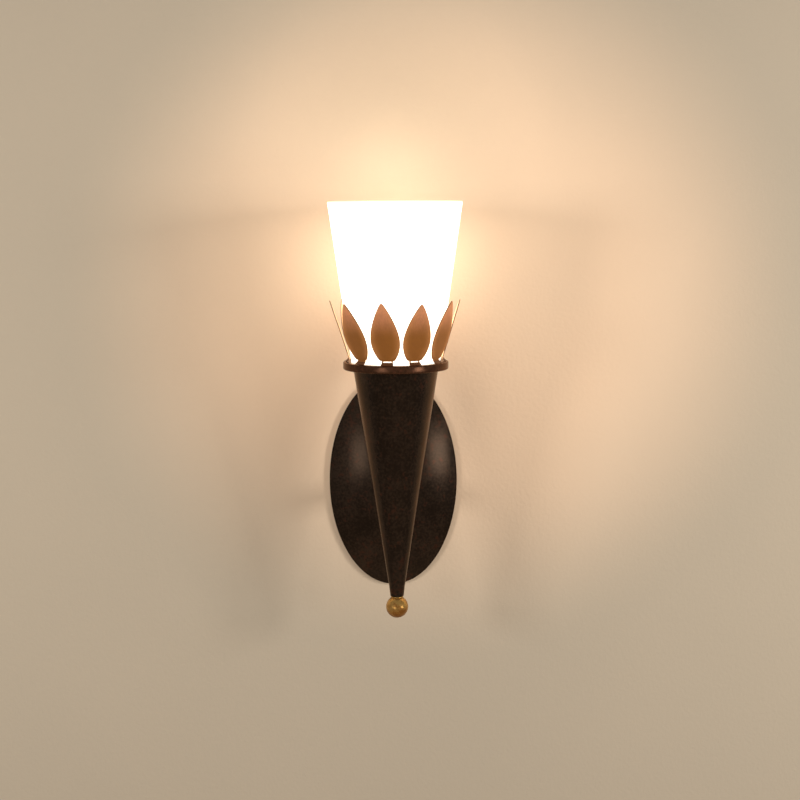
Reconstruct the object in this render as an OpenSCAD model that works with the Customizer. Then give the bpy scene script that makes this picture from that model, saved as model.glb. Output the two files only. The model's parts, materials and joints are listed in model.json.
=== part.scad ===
// Torch-shaped wall light: an opal glass shade stands in a crown of ten leaves
// on a tapered metal torch, held off an oval back plate by a short arm.
// Millimetres. The origin is the middle of the back plate on the wall plane,
// +Z is up, +Y points into the wall and the torch stands in front, towards -Y.

/* [Shade] */
// Outer diameter of the glass at its open top
shade_top_d = 127; // [120:1:135]
// Outer diameter of the glass at its lower edge
shade_foot_d = 83.2; // [80:0.2:84]
// Height of the glass
shade_h = 153.4; // [140:0.2:170]
// Wall thickness of the glass
shade_t = 3.2; // [2.5:0.1:4]

/* [Torch] */
// Distance of the torch axis from the wall
standoff = 88; // [84:1:110]
// Height of the crown ring's underside above the middle of the plate
ring_z = 123.2; // [120:0.2:130]
// Outer diameter of the crown ring
ring_d = 100; // [98:0.2:104]
// Thickness of the crown ring
ring_t = 7.4; // [7:0.1:9]
// Diameter of the cone where it meets the ring
cone_top_d = 80.6; // [78:0.2:82]
// Diameter at the end of the straight taper
cone_tip_d = 15.2; // [15:0.1:17]
// Height of the straight taper
taper_h = 211.2; // [200:0.2:220]
// Diameter of the cone's closed lower end
cone_end_d = 13; // [12.6:0.1:14]
// Height of the nearly straight neck below the taper
neck_h = 10; // [8:0.5:12]
// Sheet thickness of the cone
cone_t = 1.2; // [1:0.1:1.5]
// Diameter of the ball under the torch
ball_d = 21.4; // [20.5:0.1:24]

/* [Leaves] */
// Length of a leaf from its fold to its tip
leaf_l = 57.5; // [50:0.5:60]
// Greatest width of a leaf
leaf_w = 27.3; // [22:0.1:28]
// Sheet thickness of a leaf
leaf_t = 1; // [0.8:0.1:1.2]
// Usual outward lean of a leaf from the vertical, in degrees
leaf_lean = 19; // [17:0.5:22]
// Radius at which a leaf is folded up
fold_r = 43.9; // [43.7:0.1:44.4]
// Height of the fold above the ring
fold_h = 3.2; // [2.8:0.1:3.6]
// Turn of the whole crown about the torch axis, in degrees
crown_turn = -15.7; // [-18:0.1:18]

/* [Back plate] */
// Width of the oval plate
plate_w = 130; // [124:1:150]
// Height of the oval plate
plate_h = 217; // [210:1:240]
// Height of the rim before the dome starts
plate_rim = 3.5; // [3:0.5:6]
// Rise of the dome above the rim
plate_rise = 17; // [16:0.5:20]
// Sheet thickness of the plate
plate_t = 1.2; // [1:0.1:1.5]

/* [Wall fixing] */
// Distance between the middles of the two box screw slots
slot_pitch = 86; // [80:1:88]
// Width of a box screw slot
slot_w = 4.8; // [4.2:0.1:5.2]
// End-to-end length of a box screw slot
slot_l = 14; // [10:1:15]
// Distance between the two plate studs
stud_pitch = 116; // [112:1:118]

/* [Lamp] */
// Diameter of the light bulb
bulb_d = 60; // [55:1:64]
// Screw diameter of the lamp base
cap_d = 26.4; // [26:0.1:26.4]
// Length of a bulb from its contact to its top
bulb_l = 104; // [98:1:112]

/* [Hidden] */
$fn = 96;
EPS = 0.01;
// Radial gap of a running fit and of a thread drawn as a plain cylinder
run = 0.06;
HEX = 6;

// Crown ring: bore for the glass, and the inner ledge that carries the pan
ring_r = ring_d / 2;
ring_top = ring_z + ring_t;
ring_edge = 1.4;
ring_bore_r = shade_foot_d / 2 + 0.9;
ledge_t = 2;
ledge_r = 37;

// Pan, gasket and glass stand on the ledge
pan_z = ring_z + ledge_t;
pan_t = 1;
pan_r = ring_bore_r - 0.3;
vent_r = 4;
vent_circle_r = 29;
vents = 8;
wire_hole_r = 4.2;
wire_hole_y = 13;
pan_screw_y = 22;
gasket_t = 1;
gasket_in_r = 37.6;
shade_z = pan_z + pan_t + gasket_t;

// Torch cone
cone_slope = (cone_top_d - cone_tip_d) / 2 / taper_h;
taper_z = ring_z - taper_h;
cone_end_z = taper_z - neck_h;
cone_floor = 3;
function cone_r(z) = cone_tip_d / 2 + (z - taper_z) * cone_slope;

// Centre rod with its nut, and the ball that draws the torch together
rod_r = 4;
rod_top = pan_z + pan_t + 11.3;
rod_end = cone_end_z - 11.3;
rod_washer_r = 8;
rod_washer_t = 1.2;
rod_nut_r = 7.5;
rod_nut_t = 4;
rod_nut_z = pan_z + pan_t + rod_washer_t;
ball_washer_t = 1.3;
ball_washer_r = 6;
ball_top = cone_end_z - ball_washer_t;
ball_z = cone_end_z - ball_d / 2;
ball_bore_depth = 12;

// Leaves stand every 36 degrees, and each one was bent by hand a little off its
// mark: its turn about the torch, its tilt in its own plane, its added lean and
// the height of its slit, which the bend opens or closes
leaves = 10;
leaf_step = 360 / leaves;
leaf_set = [
    [3.6, 2.4, -1.3, 1.3], [0.3, 0.8, 1.5, 1.3], [-0.9, -2.5, -2.5, 0.3], [-4.8, -1, -2, 0.5],
    [-0.3, 0, 0, 0.9], [1.7, 1, -0.5, 1.1], [0.2, -1, 0.5, 0.7], [-2.8, 0, 0, 0.5],
    [-1.8, 2, -0.7, 0.4], [4.1, 1.6, 1.9, 0.3]
];
neck_w = 10.4;
foot_w = 12;
foot_out = 3.4;
slit_w = 7.6;
fold_z = ring_top + fold_h;
widest = 0.36;
tip_round = 1.5;
tip_turn = 35;
foot_l = norm([foot_out, fold_h]) + leaf_t;
fold_overlap = 1.4;
mask_reach = 5;

// Back plate: a spherical dome stretched to an oval, with a flat middle land
plate_r = plate_w / 2;
plate_stretch = plate_h / plate_w;
dome_r = (pow(plate_r, 2) + pow(plate_rise, 2)) / (2 * plate_rise);
plate_top = plate_rim + plate_rise;
land_drop = 1;
land_y = -(plate_top - land_drop);
pad_r = 7;
pad_in_r = 5.8;
stud_z = stud_pitch / 2;
function dome_height(z) =
    plate_rim + sqrt(pow(dome_r, 2) - pow(z / plate_stretch, 2)) - (dome_r - plate_rise);
pad_y = -dome_height(stud_z - pad_r);

// Strap on the wall box, with studs, nuts and the earth screw
strap_t = 2;
strap_w = 22;
strap_l = 132;
stud_r = 2;
stud_back = -0.2;
stud_l = -pad_y + 5.4;
stud_nut_r = 4.05;
stud_nut_t = 3;
cap_nut_r = 5.8;
cap_nut_t = 4;
cap_nut_dome_r = 4.6;
earth_z = 22;
tag_t = 0.8;
tag_r = 3.8;
barrel_r = 1.5;
barrel_l = 4;

// Arm between plate and torch: collar, tube, bush, hollow nipple, lock nut
arm_r = 9.5;
arm_in_r = 8;
collar_r = 15;
collar_step_r = 12;
collar_base_t = 2.5;
collar_t = 5;
arm_y = land_y - collar_t;
bush_l = 12;
nipple_r = 5;
nipple_in_r = 3.6;
nipple_y = -12.3;
nipple_washer_r = 9;
nipple_washer_t = 1;
nipple_nut_r = 8;
nipple_nut_t = 3.5;
bushing_r = 6;
bushing_in_r = 2.9;
bushing_l = 7;
bushing_lip = 1.2;
grommet_r = 6.5;
grommet_hole_r = 3.6;
grommet_lip = 1.6;
cone_wire_hole_r = 5;

// Terminal block on the strap
block_w = 20;
block_top = -13;
block_l = 21;
block_d = 11;
way_x = 4.8;
way_r = 1.75;
insert_r = 2.6;
terminal_screw_r = 1.5;
terminal_screw_gap = 12;
block_screw_r = 1.5;

// Lampholder, stacked on the rod's nut
holder_cap_z = rod_nut_z + rod_nut_t;
holder_cap_t = 5.6;
holder_cap_r = 17.5;
holder_z = holder_cap_z + holder_cap_t;
holder_r = 16.8;
holder_h = 39;
holder_floor_z = holder_z + 8;
holder_floor_t = 4;
holder_cavity_r = 13;
shell_z = holder_floor_z + holder_floor_t;
shell_out_r = 14.3;
shell_in_r = 13.5;
shell_h = 25;
contact_w = 6;
contact_rise = 2.2;
holder_screw_x = 8.5;
wire_slot_y = 11.5;
wire_slot_w = 4.8;
wire_slot_l = 12;

// Bulb: contact tip, black glass insulator, screw cap and frosted glass
tip_z = shell_z + contact_rise + 0.3;
tip_r = 4;
tip_t = 1;
insulator_t = 3.6;
cap_z = tip_z + tip_t + insulator_t;
cap_h = 21;
glass_z = cap_z + cap_h;
glass_neck_r = 12.8;
glass_t = 0.8;
bulb_r = bulb_d / 2;
bulb_z = tip_z + bulb_l - bulb_r;
stem_h = 30;
stem_z = glass_z - 6;
filament_z = bulb_z + 2;
filament_half = 9;
filament_foot_x = 1.6;
filament_wire_r = 0.35;

// Leads: round numbers chosen by hand, from the lampholder to the terminals,
// in the torch's own frame first (x, distance behind the axis, height) ...
lead_r = 0.9;
lead_sides = 8;
lead_in_cone = [
    [8.5, -1, 142], [8.4, 2.8, 142], [6.8, 6.8, 141], [4.8, 9.8, 138.6],
    [3.5, 11.3, 135], [2.6, 12, 130], [2.1, 12.8, 122], [1.8, 13.4, 110],
    [1.6, 13.5, 70], [1.4, 13.4, 30], [1.4, 13.2, 14], [1.4, 13.5, 7.5],
    [1.4, 14.6, 3], [1.4, 16.6, 0.2], [1.4, 19, -0.8], [1.4, 26, -0.8]
];
// ... then along the arm and down to the block, with y measured from the wall
lead_in_arm = [
    [1.4, -40, -0.8], [1.4, -14, -0.8], [1.4, -11, -1], [2, -8.9, -2.8],
    [3.4, -7.8, -6.5], [4.8, -7.5, -10.5], [4.8, -7.5, -20]
];
earth_in_cone = [
    [0, 28, 123.7], [0, 30.8, 123.7], [0, 33, 123], [0, 34.6, 121],
    [0, 34.8, 117.5], [0, 34, 112], [0, 32.4, 104], [0, 26, 62], [0, 20.6, 28],
    [0, 18.2, 17], [0, 16.6, 10], [0, 16.4, 5.6], [0, 17.4, 3], [0, 19.6, 1.7],
    [0, 24, 1.6], [0, 28, 1.6]
];
earth_in_arm = [
    [0, -40, 1.6], [0, -14, 1.6], [0, -11, 1.7], [0, -8.4, 2.8],
    [0, -6, 5.4], [0, -4.4, 8.4], [0, -3.6, 11], [0, -3.5, 13], [0, -3.5, 16]
];

LEAF_NODES = [for (i = [1:leaves]) str("leaf_", i < 10 ? "0" : "", i)];

// ---------------------------------------------------------------- helpers

// Moves its children from the torch axis' own frame to the part's frame
module on_torch() {
    translate([0, -standoff, 0]) children();
}

// A cylinder along +Y from y0 to y1
module along_y(y0, y1, r, sides = $fn) {
    translate([0, y1, 0]) rotate([90, 0, 0]) cylinder(h = y1 - y0, r = r, $fn = sides);
}

// A washer or sleeve along Y
module ring_y(y0, y1, r, hole_r) {
    difference() {
        along_y(y0, y1, r);
        along_y(y0 - 1, y1 + 1, hole_r);
    }
}

// A washer or sleeve along Z
module ring_z(z0, h, r, hole_r) {
    translate([0, 0, z0]) difference() {
        cylinder(h = h, r = r);
        translate([0, 0, -1]) cylinder(h = h + 2, r = hole_r);
    }
}

// A hexagon nut along Y with a plain bore
module nut_y(y0, y1, r, hole_r) {
    difference() {
        along_y(y0, y1, r, HEX);
        along_y(y0 - 1, y1 + 1, hole_r);
    }
}

// A pan-head screw along Y: the head's underside is at y, the shank runs to +Y
module screw_y(y, head_r, head_t, shank_r, shank_l) {
    difference() {
        along_y(y - head_t, y, head_r);
        translate([-head_r, y - head_t - 1, -0.4]) cube([2 * head_r, 1.8, 0.8]);
    }
    along_y(y - EPS, y + shank_l, shank_r);
}

// Puts a copy of its child at plus and minus z
module at_both_heights(z) {
    for (side = [-1, 1]) translate([0, 0, side * z]) children();
}

// ------------------------------------------------------- swept round leads

function unit(v) = v / norm(v);

// Direction of the route at point i
function heading(route, i) =
    unit(route[min(i + 1, len(route) - 1)] - route[max(i - 1, 0)]);

// Ring of points round the route at point i. Every lead lies close to a plane
// that holds the X axis' normal, so X gives the ring's first direction.
function ring_at(route, i) =
    let (
        ahead = heading(route, i),
        up = unit(cross(ahead, [1, 0, 0])),
        side = cross(up, ahead)
    )
    [for (k = [0:lead_sides - 1])
        route[i] + lead_r * (cos(360 * k / lead_sides) * side + sin(360 * k / lead_sides) * up)];

module lead(route) {
    rings = len(route);
    points = [for (i = [0:rings - 1]) each ring_at(route, i)];
    walls = [for (i = [0:rings - 2]) for (k = [0:lead_sides - 1])
        let (n = (k + 1) % lead_sides, a = i * lead_sides, b = a + lead_sides)
        [a + k, a + n, b + n, b + k]];
    start = [for (k = [0:lead_sides - 1]) lead_sides - 1 - k];
    end = [for (k = [0:lead_sides - 1]) (rings - 1) * lead_sides + k];
    polyhedron(points = points, faces = concat(walls, [start, end]), convexity = 4);
}

// A lead's whole route; side is -1, 0 or 1 for the mirrored or middle lead
function lead_route(in_cone, in_arm, side) = concat(
    [for (p = in_cone) [side * p[0], p[1] - standoff, p[2]]],
    [for (p = in_arm) [side * p[0], p[1], p[2]]]
);

// ----------------------------------------------------------------- wall side

// Solid dome of the plate, shrunk all round by inset
module dome(inset) {
    r = plate_r - inset;
    stretch = (plate_h / 2 - inset) / r;
    ball_r = dome_r - inset;
    rotate([90, 0, 0]) scale([1, stretch, 1]) intersection() {
        translate([0, 0, -inset]) cylinder(h = plate_top + inset, r = r);
        translate([0, 0, plate_top - inset - ball_r]) sphere(r = ball_r);
        translate([0, 0, -inset]) cylinder(h = -land_y, r = r);
    }
}

module back_plate() {
    color([0.17, 0.12, 0.08]) difference() {
        union() {
            dome(0);
            at_both_heights(stud_z) along_y(pad_y, -plate_rim, pad_r);
        }
        dome(plate_t);
        at_both_heights(stud_z) along_y(pad_y + plate_t, 1, pad_in_r);
        along_y(land_y - 1, 1, nipple_r + 0.3);
        at_both_heights(stud_z) along_y(pad_y - 1, 1, stud_r + 0.2);
    }
}

// A round-ended slot that runs along Y
module slot_outline(width, length) {
    half = (length - width) / 2;
    square([width, 2 * half], center = true);
    for (side = [-1, 1]) translate([0, side * half]) circle(d = width);
}

module mounting_strap() {
    color([0.72, 0.72, 0.70]) rotate([90, 0, 0]) linear_extrude(strap_t) difference() {
        slot_outline(strap_w, strap_l);
        for (side = [-1, 1]) {
            translate([0, side * slot_pitch / 2]) slot_outline(slot_w, slot_l);
            translate([0, side * stud_z]) circle(r = stud_r + run);
        }
        circle(r = nipple_r + 0.25);
        translate([0, earth_z]) circle(r = stud_r + run);
        translate([0, block_top - block_l / 2]) circle(r = block_screw_r + run);
    }
}

module strap_studs() {
    color([0.75, 0.73, 0.68]) at_both_heights(stud_z) along_y(-stud_l, stud_back, stud_r);
}

module stud_locknuts() {
    color([0.70, 0.70, 0.68]) at_both_heights(stud_z)
        nut_y(-strap_t - stud_nut_t, -strap_t, stud_nut_r, stud_r + run);
}

module cap_nuts() {
    color([0.20, 0.14, 0.09]) at_both_heights(stud_z) difference() {
        union() {
            along_y(pad_y - cap_nut_t, pad_y, cap_nut_r, HEX);
            translate([0, pad_y - cap_nut_t, 0]) sphere(r = cap_nut_dome_r);
        }
        along_y(pad_y - cap_nut_t - 2.4, pad_y + 1, stud_r + run);
        along_y(pad_y, pad_y + 2 * cap_nut_r, 2 * cap_nut_r);
    }
}

module earth_screw() {
    color([0.25, 0.55, 0.30]) translate([0, 0, earth_z])
        screw_y(-strap_t - tag_t, 3.6, 2, stud_r, strap_t + tag_t + stud_back);
}

module terminal_block() {
    color([0.92, 0.91, 0.87]) difference() {
        translate([-block_w / 2, -strap_t - block_d, block_top - block_l])
            cube([block_w, block_d, block_l]);
        for (side = [-1, 1]) {
            translate([side * way_x, -7.5, block_top - block_l - 1])
                cylinder(h = block_l + 2, r = insert_r + run);
            for (step = [-1, 1])
                translate([side * way_x, 0, block_middle() + step * terminal_screw_gap / 2])
                    along_y(-strap_t - block_d - 1, -7.5, terminal_screw_r + 0.25);
        }
        translate([0, 0, block_middle()]) {
            along_y(-strap_t - block_d - 1, 1, block_screw_r + 0.15);
            along_y(-strap_t - block_d - 1, -8, 2.6);
        }
        for (side = [-1, 1]) translate([side * way_x, 0, 0])
            translate([-0.6, -strap_t - block_d - 1, block_middle() - 2])
                cube([1.2, 2.2, 4]);
    }
}

function block_middle() = block_top - block_l / 2;

module terminal_inserts() {
    color([0.80, 0.65, 0.30]) for (side = [-1, 1]) translate([side * way_x, -7.5, 0])
        difference() {
            translate([0, 0, block_top - block_l + 1]) cylinder(h = block_l - 2, r = insert_r);
            translate([0, 0, block_top - block_l]) cylinder(h = block_l, r = way_r);
            for (step = [-1, 1])
                translate([0, 0, block_middle() + step * terminal_screw_gap / 2])
                    along_y(-block_d, 0, terminal_screw_r + run);
        }
}

module terminal_screws() {
    color([0.75, 0.73, 0.68]) for (side = [-1, 1]) for (step = [-1, 1])
        translate([side * way_x, 0, block_middle() + step * terminal_screw_gap / 2])
            difference() {
                along_y(-strap_t - block_d + 0.6, -8.5, terminal_screw_r);
                translate([-2, -strap_t - block_d, -0.25]) cube([4, 1.4, 0.5]);
            }
}

module block_screw() {
    color([0.75, 0.73, 0.68]) translate([0, 0, block_middle()])
        screw_y(-8, 2.4, 1.6, block_screw_r, 8 + stud_back);
}

// ----------------------------------------------------------------------- arm

module arm_collar() {
    color([0.17, 0.12, 0.08]) difference() {
        union() {
            along_y(land_y - collar_base_t, land_y, collar_r);
            along_y(arm_y, land_y, collar_step_r);
        }
        along_y(arm_y - 1, land_y + 1, nipple_r + run);
    }
}

// The solid outside of the cone, also used to cut the arm's end to a saddle
module cone_outside() {
    on_torch() {
        translate([0, 0, taper_z])
            cylinder(h = taper_h, r1 = cone_tip_d / 2, r2 = cone_top_d / 2);
        translate([0, 0, cone_end_z])
            cylinder(h = neck_h, r1 = cone_end_d / 2, r2 = cone_tip_d / 2);
    }
}

module arm_tube() {
    color([0.17, 0.12, 0.08]) difference() {
        ring_y(-standoff, arm_y, arm_r, arm_in_r);
        cone_outside();
    }
}

module arm_bush() {
    color([0.70, 0.58, 0.32]) ring_y(arm_y - bush_l, arm_y, arm_in_r - run / 2, nipple_r + run);
}

module arm_nipple() {
    color([0.75, 0.73, 0.68]) ring_y(arm_y - bush_l + 1, nipple_y, nipple_r, nipple_in_r);
}

module nipple_washer() {
    color([0.72, 0.72, 0.70])
        ring_y(land_y + plate_t, land_y + plate_t + nipple_washer_t, nipple_washer_r, nipple_r + run);
}

module nipple_locknut() {
    nut_back = land_y + plate_t + nipple_washer_t;
    color([0.72, 0.72, 0.70]) nut_y(nut_back, nut_back + nipple_nut_t, nipple_nut_r, nipple_r + run);
}

module nipple_bushing() {
    color([0.12, 0.12, 0.12]) {
        ring_y(nipple_y, nipple_y + bushing_lip, bushing_r, bushing_in_r);
        ring_y(nipple_y - bushing_l, nipple_y + EPS, nipple_in_r - run, bushing_in_r);
    }
}

// The cone's sheet round the wire hole, with a gap left on both its faces
module cone_wall(gap) {
    on_torch() translate([0, 0, taper_z]) difference() {
        cylinder(h = taper_h, r1 = cone_tip_d / 2 + gap, r2 = cone_top_d / 2 + gap);
        translate([0, 0, -EPS]) cylinder(
            h = taper_h + 2 * EPS,
            r1 = cone_tip_d / 2 - cone_t - gap, r2 = cone_top_d / 2 - cone_t - gap);
    }
}

// A flexible bush in the cone's wire hole; both its lips follow the sheet
module wire_grommet() {
    hole_y = cone_r(0) - standoff;
    front = hole_y - cone_t - grommet_lip;
    back = hole_y + grommet_lip;
    color([0.10, 0.10, 0.10]) difference() {
        union() {
            difference() {
                along_y(front, back, grommet_r);
                cone_wall(run);
            }
            along_y(front, back, cone_wire_hole_r - run);
        }
        along_y(-standoff, 0, grommet_hole_r);
    }
}

// --------------------------------------------------------------------- torch

module torch_cone() {
    color([0.17, 0.12, 0.08]) difference() {
        cone_outside();
        on_torch() {
            translate([0, 0, taper_z]) cylinder(
                h = taper_h + EPS, r1 = cone_tip_d / 2 - cone_t, r2 = cone_top_d / 2 - cone_t);
            translate([0, 0, cone_end_z + cone_floor]) cylinder(
                h = neck_h - cone_floor + EPS,
                r1 = cone_end_d / 2 - cone_t, r2 = cone_tip_d / 2 - cone_t);
            translate([0, 0, cone_end_z - 1]) cylinder(h = cone_floor + 2, r = rod_r + 0.15);
        }
        along_y(-standoff + 1, 0, cone_wire_hole_r);
    }
}

// Ring section: a flat bar with rounded outer edges and a ledge inside
module ring_section() {
    difference() {
        union() {
            translate([ledge_r, 0]) square([ring_r - ring_edge - ledge_r, ring_t]);
            translate([ledge_r, ring_edge]) square([ring_r - ledge_r, ring_t - 2 * ring_edge]);
            for (z = [ring_edge, ring_t - ring_edge])
                translate([ring_r - ring_edge, z]) circle(r = ring_edge);
        }
        translate([0, ledge_t]) square([ring_bore_r, ring_t]);
    }
}

module crown_ring() {
    color([0.24, 0.15, 0.10]) on_torch() translate([0, 0, ring_z])
        rotate_extrude() ring_section();
}

// Pressed disc on the ring's ledge, with vents round the lampholder
module shade_pan() {
    color([0.80, 0.80, 0.78]) on_torch() translate([0, 0, pan_z]) difference() {
        cylinder(h = pan_t, r = pan_r);
        translate([0, 0, -1]) {
            cylinder(h = pan_t + 2, r = rod_r + 0.15);
            for (i = [0:vents - 1]) rotate([0, 0, (i + 0.5) * 360 / vents])
                translate([vent_circle_r, 0, 0]) cylinder(h = pan_t + 2, r = vent_r);
            translate([0, wire_hole_y, 0]) cylinder(h = pan_t + 2, r = wire_hole_r);
            translate([0, pan_screw_y, 0]) cylinder(h = pan_t + 2, r = stud_r + run);
        }
    }
}

// Ring tag that lies on the XY plane, with its crimp barrel towards +Y
module ring_tag() {
    difference() {
        union() {
            cylinder(h = tag_t, r = tag_r);
            translate([-barrel_r, 0, 0]) cube([2 * barrel_r, tag_r + 1.2, tag_t]);
            translate([0, tag_r + 0.6, barrel_r]) along_y(0, barrel_l, barrel_r);
        }
        translate([0, 0, -1]) cylinder(h = tag_t + 2, r = stud_r + run);
        translate([0, tag_r + 0.6, barrel_r]) along_y(0.8, barrel_l + 1, lead_r + run);
    }
}

// The two crimped ends of the earth lead, under the pan and on the strap
module earth_tags() {
    color([0.75, 0.75, 0.72]) {
        on_torch() translate([0, pan_screw_y, pan_z]) mirror([0, 0, 1]) ring_tag();
        translate([0, -strap_t, earth_z]) rotate([-90, 0, 0]) mirror([0, 0, 1]) ring_tag();
    }
}

// Earth screw under the pan: its head holds the lead's tag up against the sheet
module pan_earth_screw() {
    color([0.75, 0.73, 0.68]) on_torch() translate([0, pan_screw_y, 0]) {
        translate([0, 0, pan_z - tag_t - 2]) cylinder(h = 2, r = 3.4);
        translate([0, 0, pan_z - tag_t - EPS]) cylinder(h = tag_t + pan_t + 1.5, r = stud_r);
    }
}

module shade_gasket() {
    color([0.30, 0.29, 0.27]) on_torch()
        ring_z(pan_z + pan_t, gasket_t, pan_r - 0.1, gasket_in_r);
}

module centre_rod() {
    color([0.75, 0.73, 0.68]) on_torch() translate([0, 0, rod_end])
        cylinder(h = rod_top - rod_end, r = rod_r);
}

module rod_washer() {
    color([0.72, 0.72, 0.70]) on_torch()
        ring_z(pan_z + pan_t, rod_washer_t, rod_washer_r, rod_r + run);
}

module rod_nut() {
    color([0.72, 0.72, 0.70]) on_torch() translate([0, 0, rod_nut_z]) difference() {
        cylinder(h = rod_nut_t, r = rod_nut_r, $fn = HEX);
        translate([0, 0, -1]) cylinder(h = rod_nut_t + 2, r = rod_r + run);
    }
}

module finial_washer() {
    color([0.72, 0.52, 0.24]) on_torch()
        ring_z(ball_top, ball_washer_t, ball_washer_r, rod_r + run);
}

module ball_finial() {
    color([0.66, 0.47, 0.20]) on_torch() difference() {
        translate([0, 0, ball_z]) sphere(d = ball_d);
        translate([0, 0, ball_top]) cylinder(h = ball_d, r = ball_d);
        translate([0, 0, ball_top - ball_bore_depth])
            cylinder(h = ball_bore_depth + 1, r = rod_r + run);
    }
}

// -------------------------------------------------------------------- leaves

function bezier(a, b, c, d, t) =
    pow(1 - t, 3) * a + 3 * pow(1 - t, 2) * t * b + 3 * (1 - t) * t * t * c + pow(t, 3) * d;

// Point on the round tip of a leaf; at the turn of 90 degrees it is the very end
function tip_point(turn) = [0, leaf_l - tip_round] + tip_round * [cos(turn), sin(turn)];

// Right-hand edge of a leaf: out from the neck to the widest place, in along the
// flank, and round the tip
function leaf_edge() = let (
    neck = [neck_w / 2, 0],
    wide = [leaf_w / 2, widest * leaf_l],
    flank = tip_point(tip_turn),
    aim = flank + 7.9 * [sin(tip_turn), -cos(tip_turn)],
    steps = 9,
    arc = 4
) concat(
    [[neck_w / 2, -fold_overlap]],
    [for (i = [0:steps]) bezier(neck, neck + [2.8, 1.3], wide - [0, 10.4], wide, i / steps)],
    [for (i = [1:steps]) bezier(wide, wide + [0, 12.6], aim, flank, i / steps)],
    [for (i = [1:arc - 1]) tip_point(tip_turn + (90 - tip_turn) * i / arc)]
);

module leaf_outline() {
    edge = leaf_edge();
    mirrored = [for (i = [len(edge) - 1:-1:0]) [-edge[i][0], edge[i][1]]];
    polygon(concat(edge, mirrored));
}

// The foot seen square on, wider towards the ring's edge
module foot_outline() {
    polygon([
        [-neck_w / 2, -fold_overlap / 2], [neck_w / 2, -fold_overlap / 2],
        [foot_w / 2, foot_l], [-foot_w / 2, foot_l]
    ]);
}

// The bent sheet seen from its edge, with its fold at the origin: the blade goes
// up and outward, the foot goes down and outward
module bent_sheet_section(lean) {
    blade = [sin(lean), cos(lean)];
    foot = unit([foot_out, -fold_h]);
    blade_side = leaf_t / 2 * [blade[1], -blade[0]];
    foot_side = leaf_t / 2 * [-foot[1], foot[0]];
    mitre = unit(blade + foot) * leaf_t / 2 / sqrt((1 - blade * foot) / 2);
    polygon([
        -mitre, blade * (leaf_l + 2) - blade_side, blade * (leaf_l + 2) + blade_side,
        mitre, foot * (foot_l + 2) + foot_side, foot * (foot_l + 2) - foot_side
    ]);
}

// Gives an outline depth on both sides of the sheet, leaning outward (+X)
module across_sheet(lean) {
    rotate([0, lean, 0]) rotate([90, 0, 90])
        linear_extrude(2 * mask_reach, center = true) children();
}

// One leaf in the plane that holds the torch axis and +X
module leaf(tilt, lean, slit_h) {
    color([0.58, 0.40, 0.20]) difference() {
        translate([fold_r, 0, fold_z]) intersection() {
            rotate([90, 0, 0]) linear_extrude(leaf_w + 4, center = true) bent_sheet_section(lean);
            union() {
                across_sheet(lean) rotate(tilt) leaf_outline();
                across_sheet(90 + atan(fold_h / foot_out)) foot_outline();
            }
        }
        translate([fold_r, 0, fold_z]) cube([4 * leaf_t, slit_w, slit_h], center = true);
        translate([0, -leaf_w, ring_top - 10]) cube([ring_r + 10, 2 * leaf_w, 10]);
    }
}

module placed_leaf(index) {
    bend = leaf_set[index];
    angle = crown_turn + leaf_step * index + bend[0];
    on_torch() rotate([0, 0, angle - 90]) leaf(bend[1], leaf_lean + bend[2], bend[3]);
}

// ---------------------------------------------------------------- lampholder

module lampholder_cap() {
    color([0.90, 0.89, 0.86]) on_torch() translate([0, 0, holder_cap_z]) difference() {
        cylinder(h = holder_cap_t, r = holder_cap_r);
        translate([0, 0, -1]) {
            cylinder(h = holder_cap_t + 2, r = rod_r + run);
            translate([0, wire_slot_y, 0]) rotate([0, 0, 90])
                linear_extrude(holder_cap_t + 2) slot_outline(wire_slot_w, wire_slot_l);
        }
    }
}

module lampholder_body() {
    color([0.90, 0.89, 0.86]) on_torch() difference() {
        translate([0, 0, holder_z]) cylinder(h = holder_h, r = holder_r);
        translate([0, 0, holder_z - EPS])
            cylinder(h = holder_floor_z - holder_z + EPS, r = holder_cavity_r);
        translate([0, 0, shell_z]) cylinder(h = holder_h, r = shell_out_r + run);
    }
}

module lampholder_screws() {
    color([0.75, 0.73, 0.68]) on_torch() for (side = [-1, 1])
        translate([side * holder_screw_x, 0, holder_floor_z - 2]) cylinder(h = 2, r = 2.8);
}

module screw_shell() {
    color([0.80, 0.65, 0.30]) on_torch() {
        ring_z(shell_z, shell_h, shell_out_r, shell_in_r);
        ring_z(shell_z, 0.8, shell_out_r, 9.5);
    }
}

// Springy brass tongue under the bulb's contact
module centre_contact() {
    color([0.80, 0.65, 0.30]) on_torch() translate([0, 0, shell_z]) rotate([90, 0, 0])
        linear_extrude(contact_w, center = true) polygon([
            [-7, 0], [-2.6, 0], [0.5, contact_rise - 0.6], [4.5, contact_rise - 0.6],
            [4.5, contact_rise], [0.2, contact_rise], [-2.9, 0.6], [-7, 0.6]
        ]);
}

// ---------------------------------------------------------------------- bulb

module bulb_tip() {
    color([0.70, 0.70, 0.70]) on_torch() translate([0, 0, tip_z]) cylinder(h = tip_t, r = tip_r);
}

module bulb_insulator() {
    color([0.08, 0.08, 0.08]) on_torch() translate([0, 0, tip_z + tip_t])
        cylinder(h = insulator_t, r1 = 6, r2 = cap_d / 2 - 0.6);
}

module bulb_cap() {
    color([0.75, 0.73, 0.66]) on_torch() ring_z(cap_z, cap_h, cap_d / 2, cap_d / 2 - 0.5);
}

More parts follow.
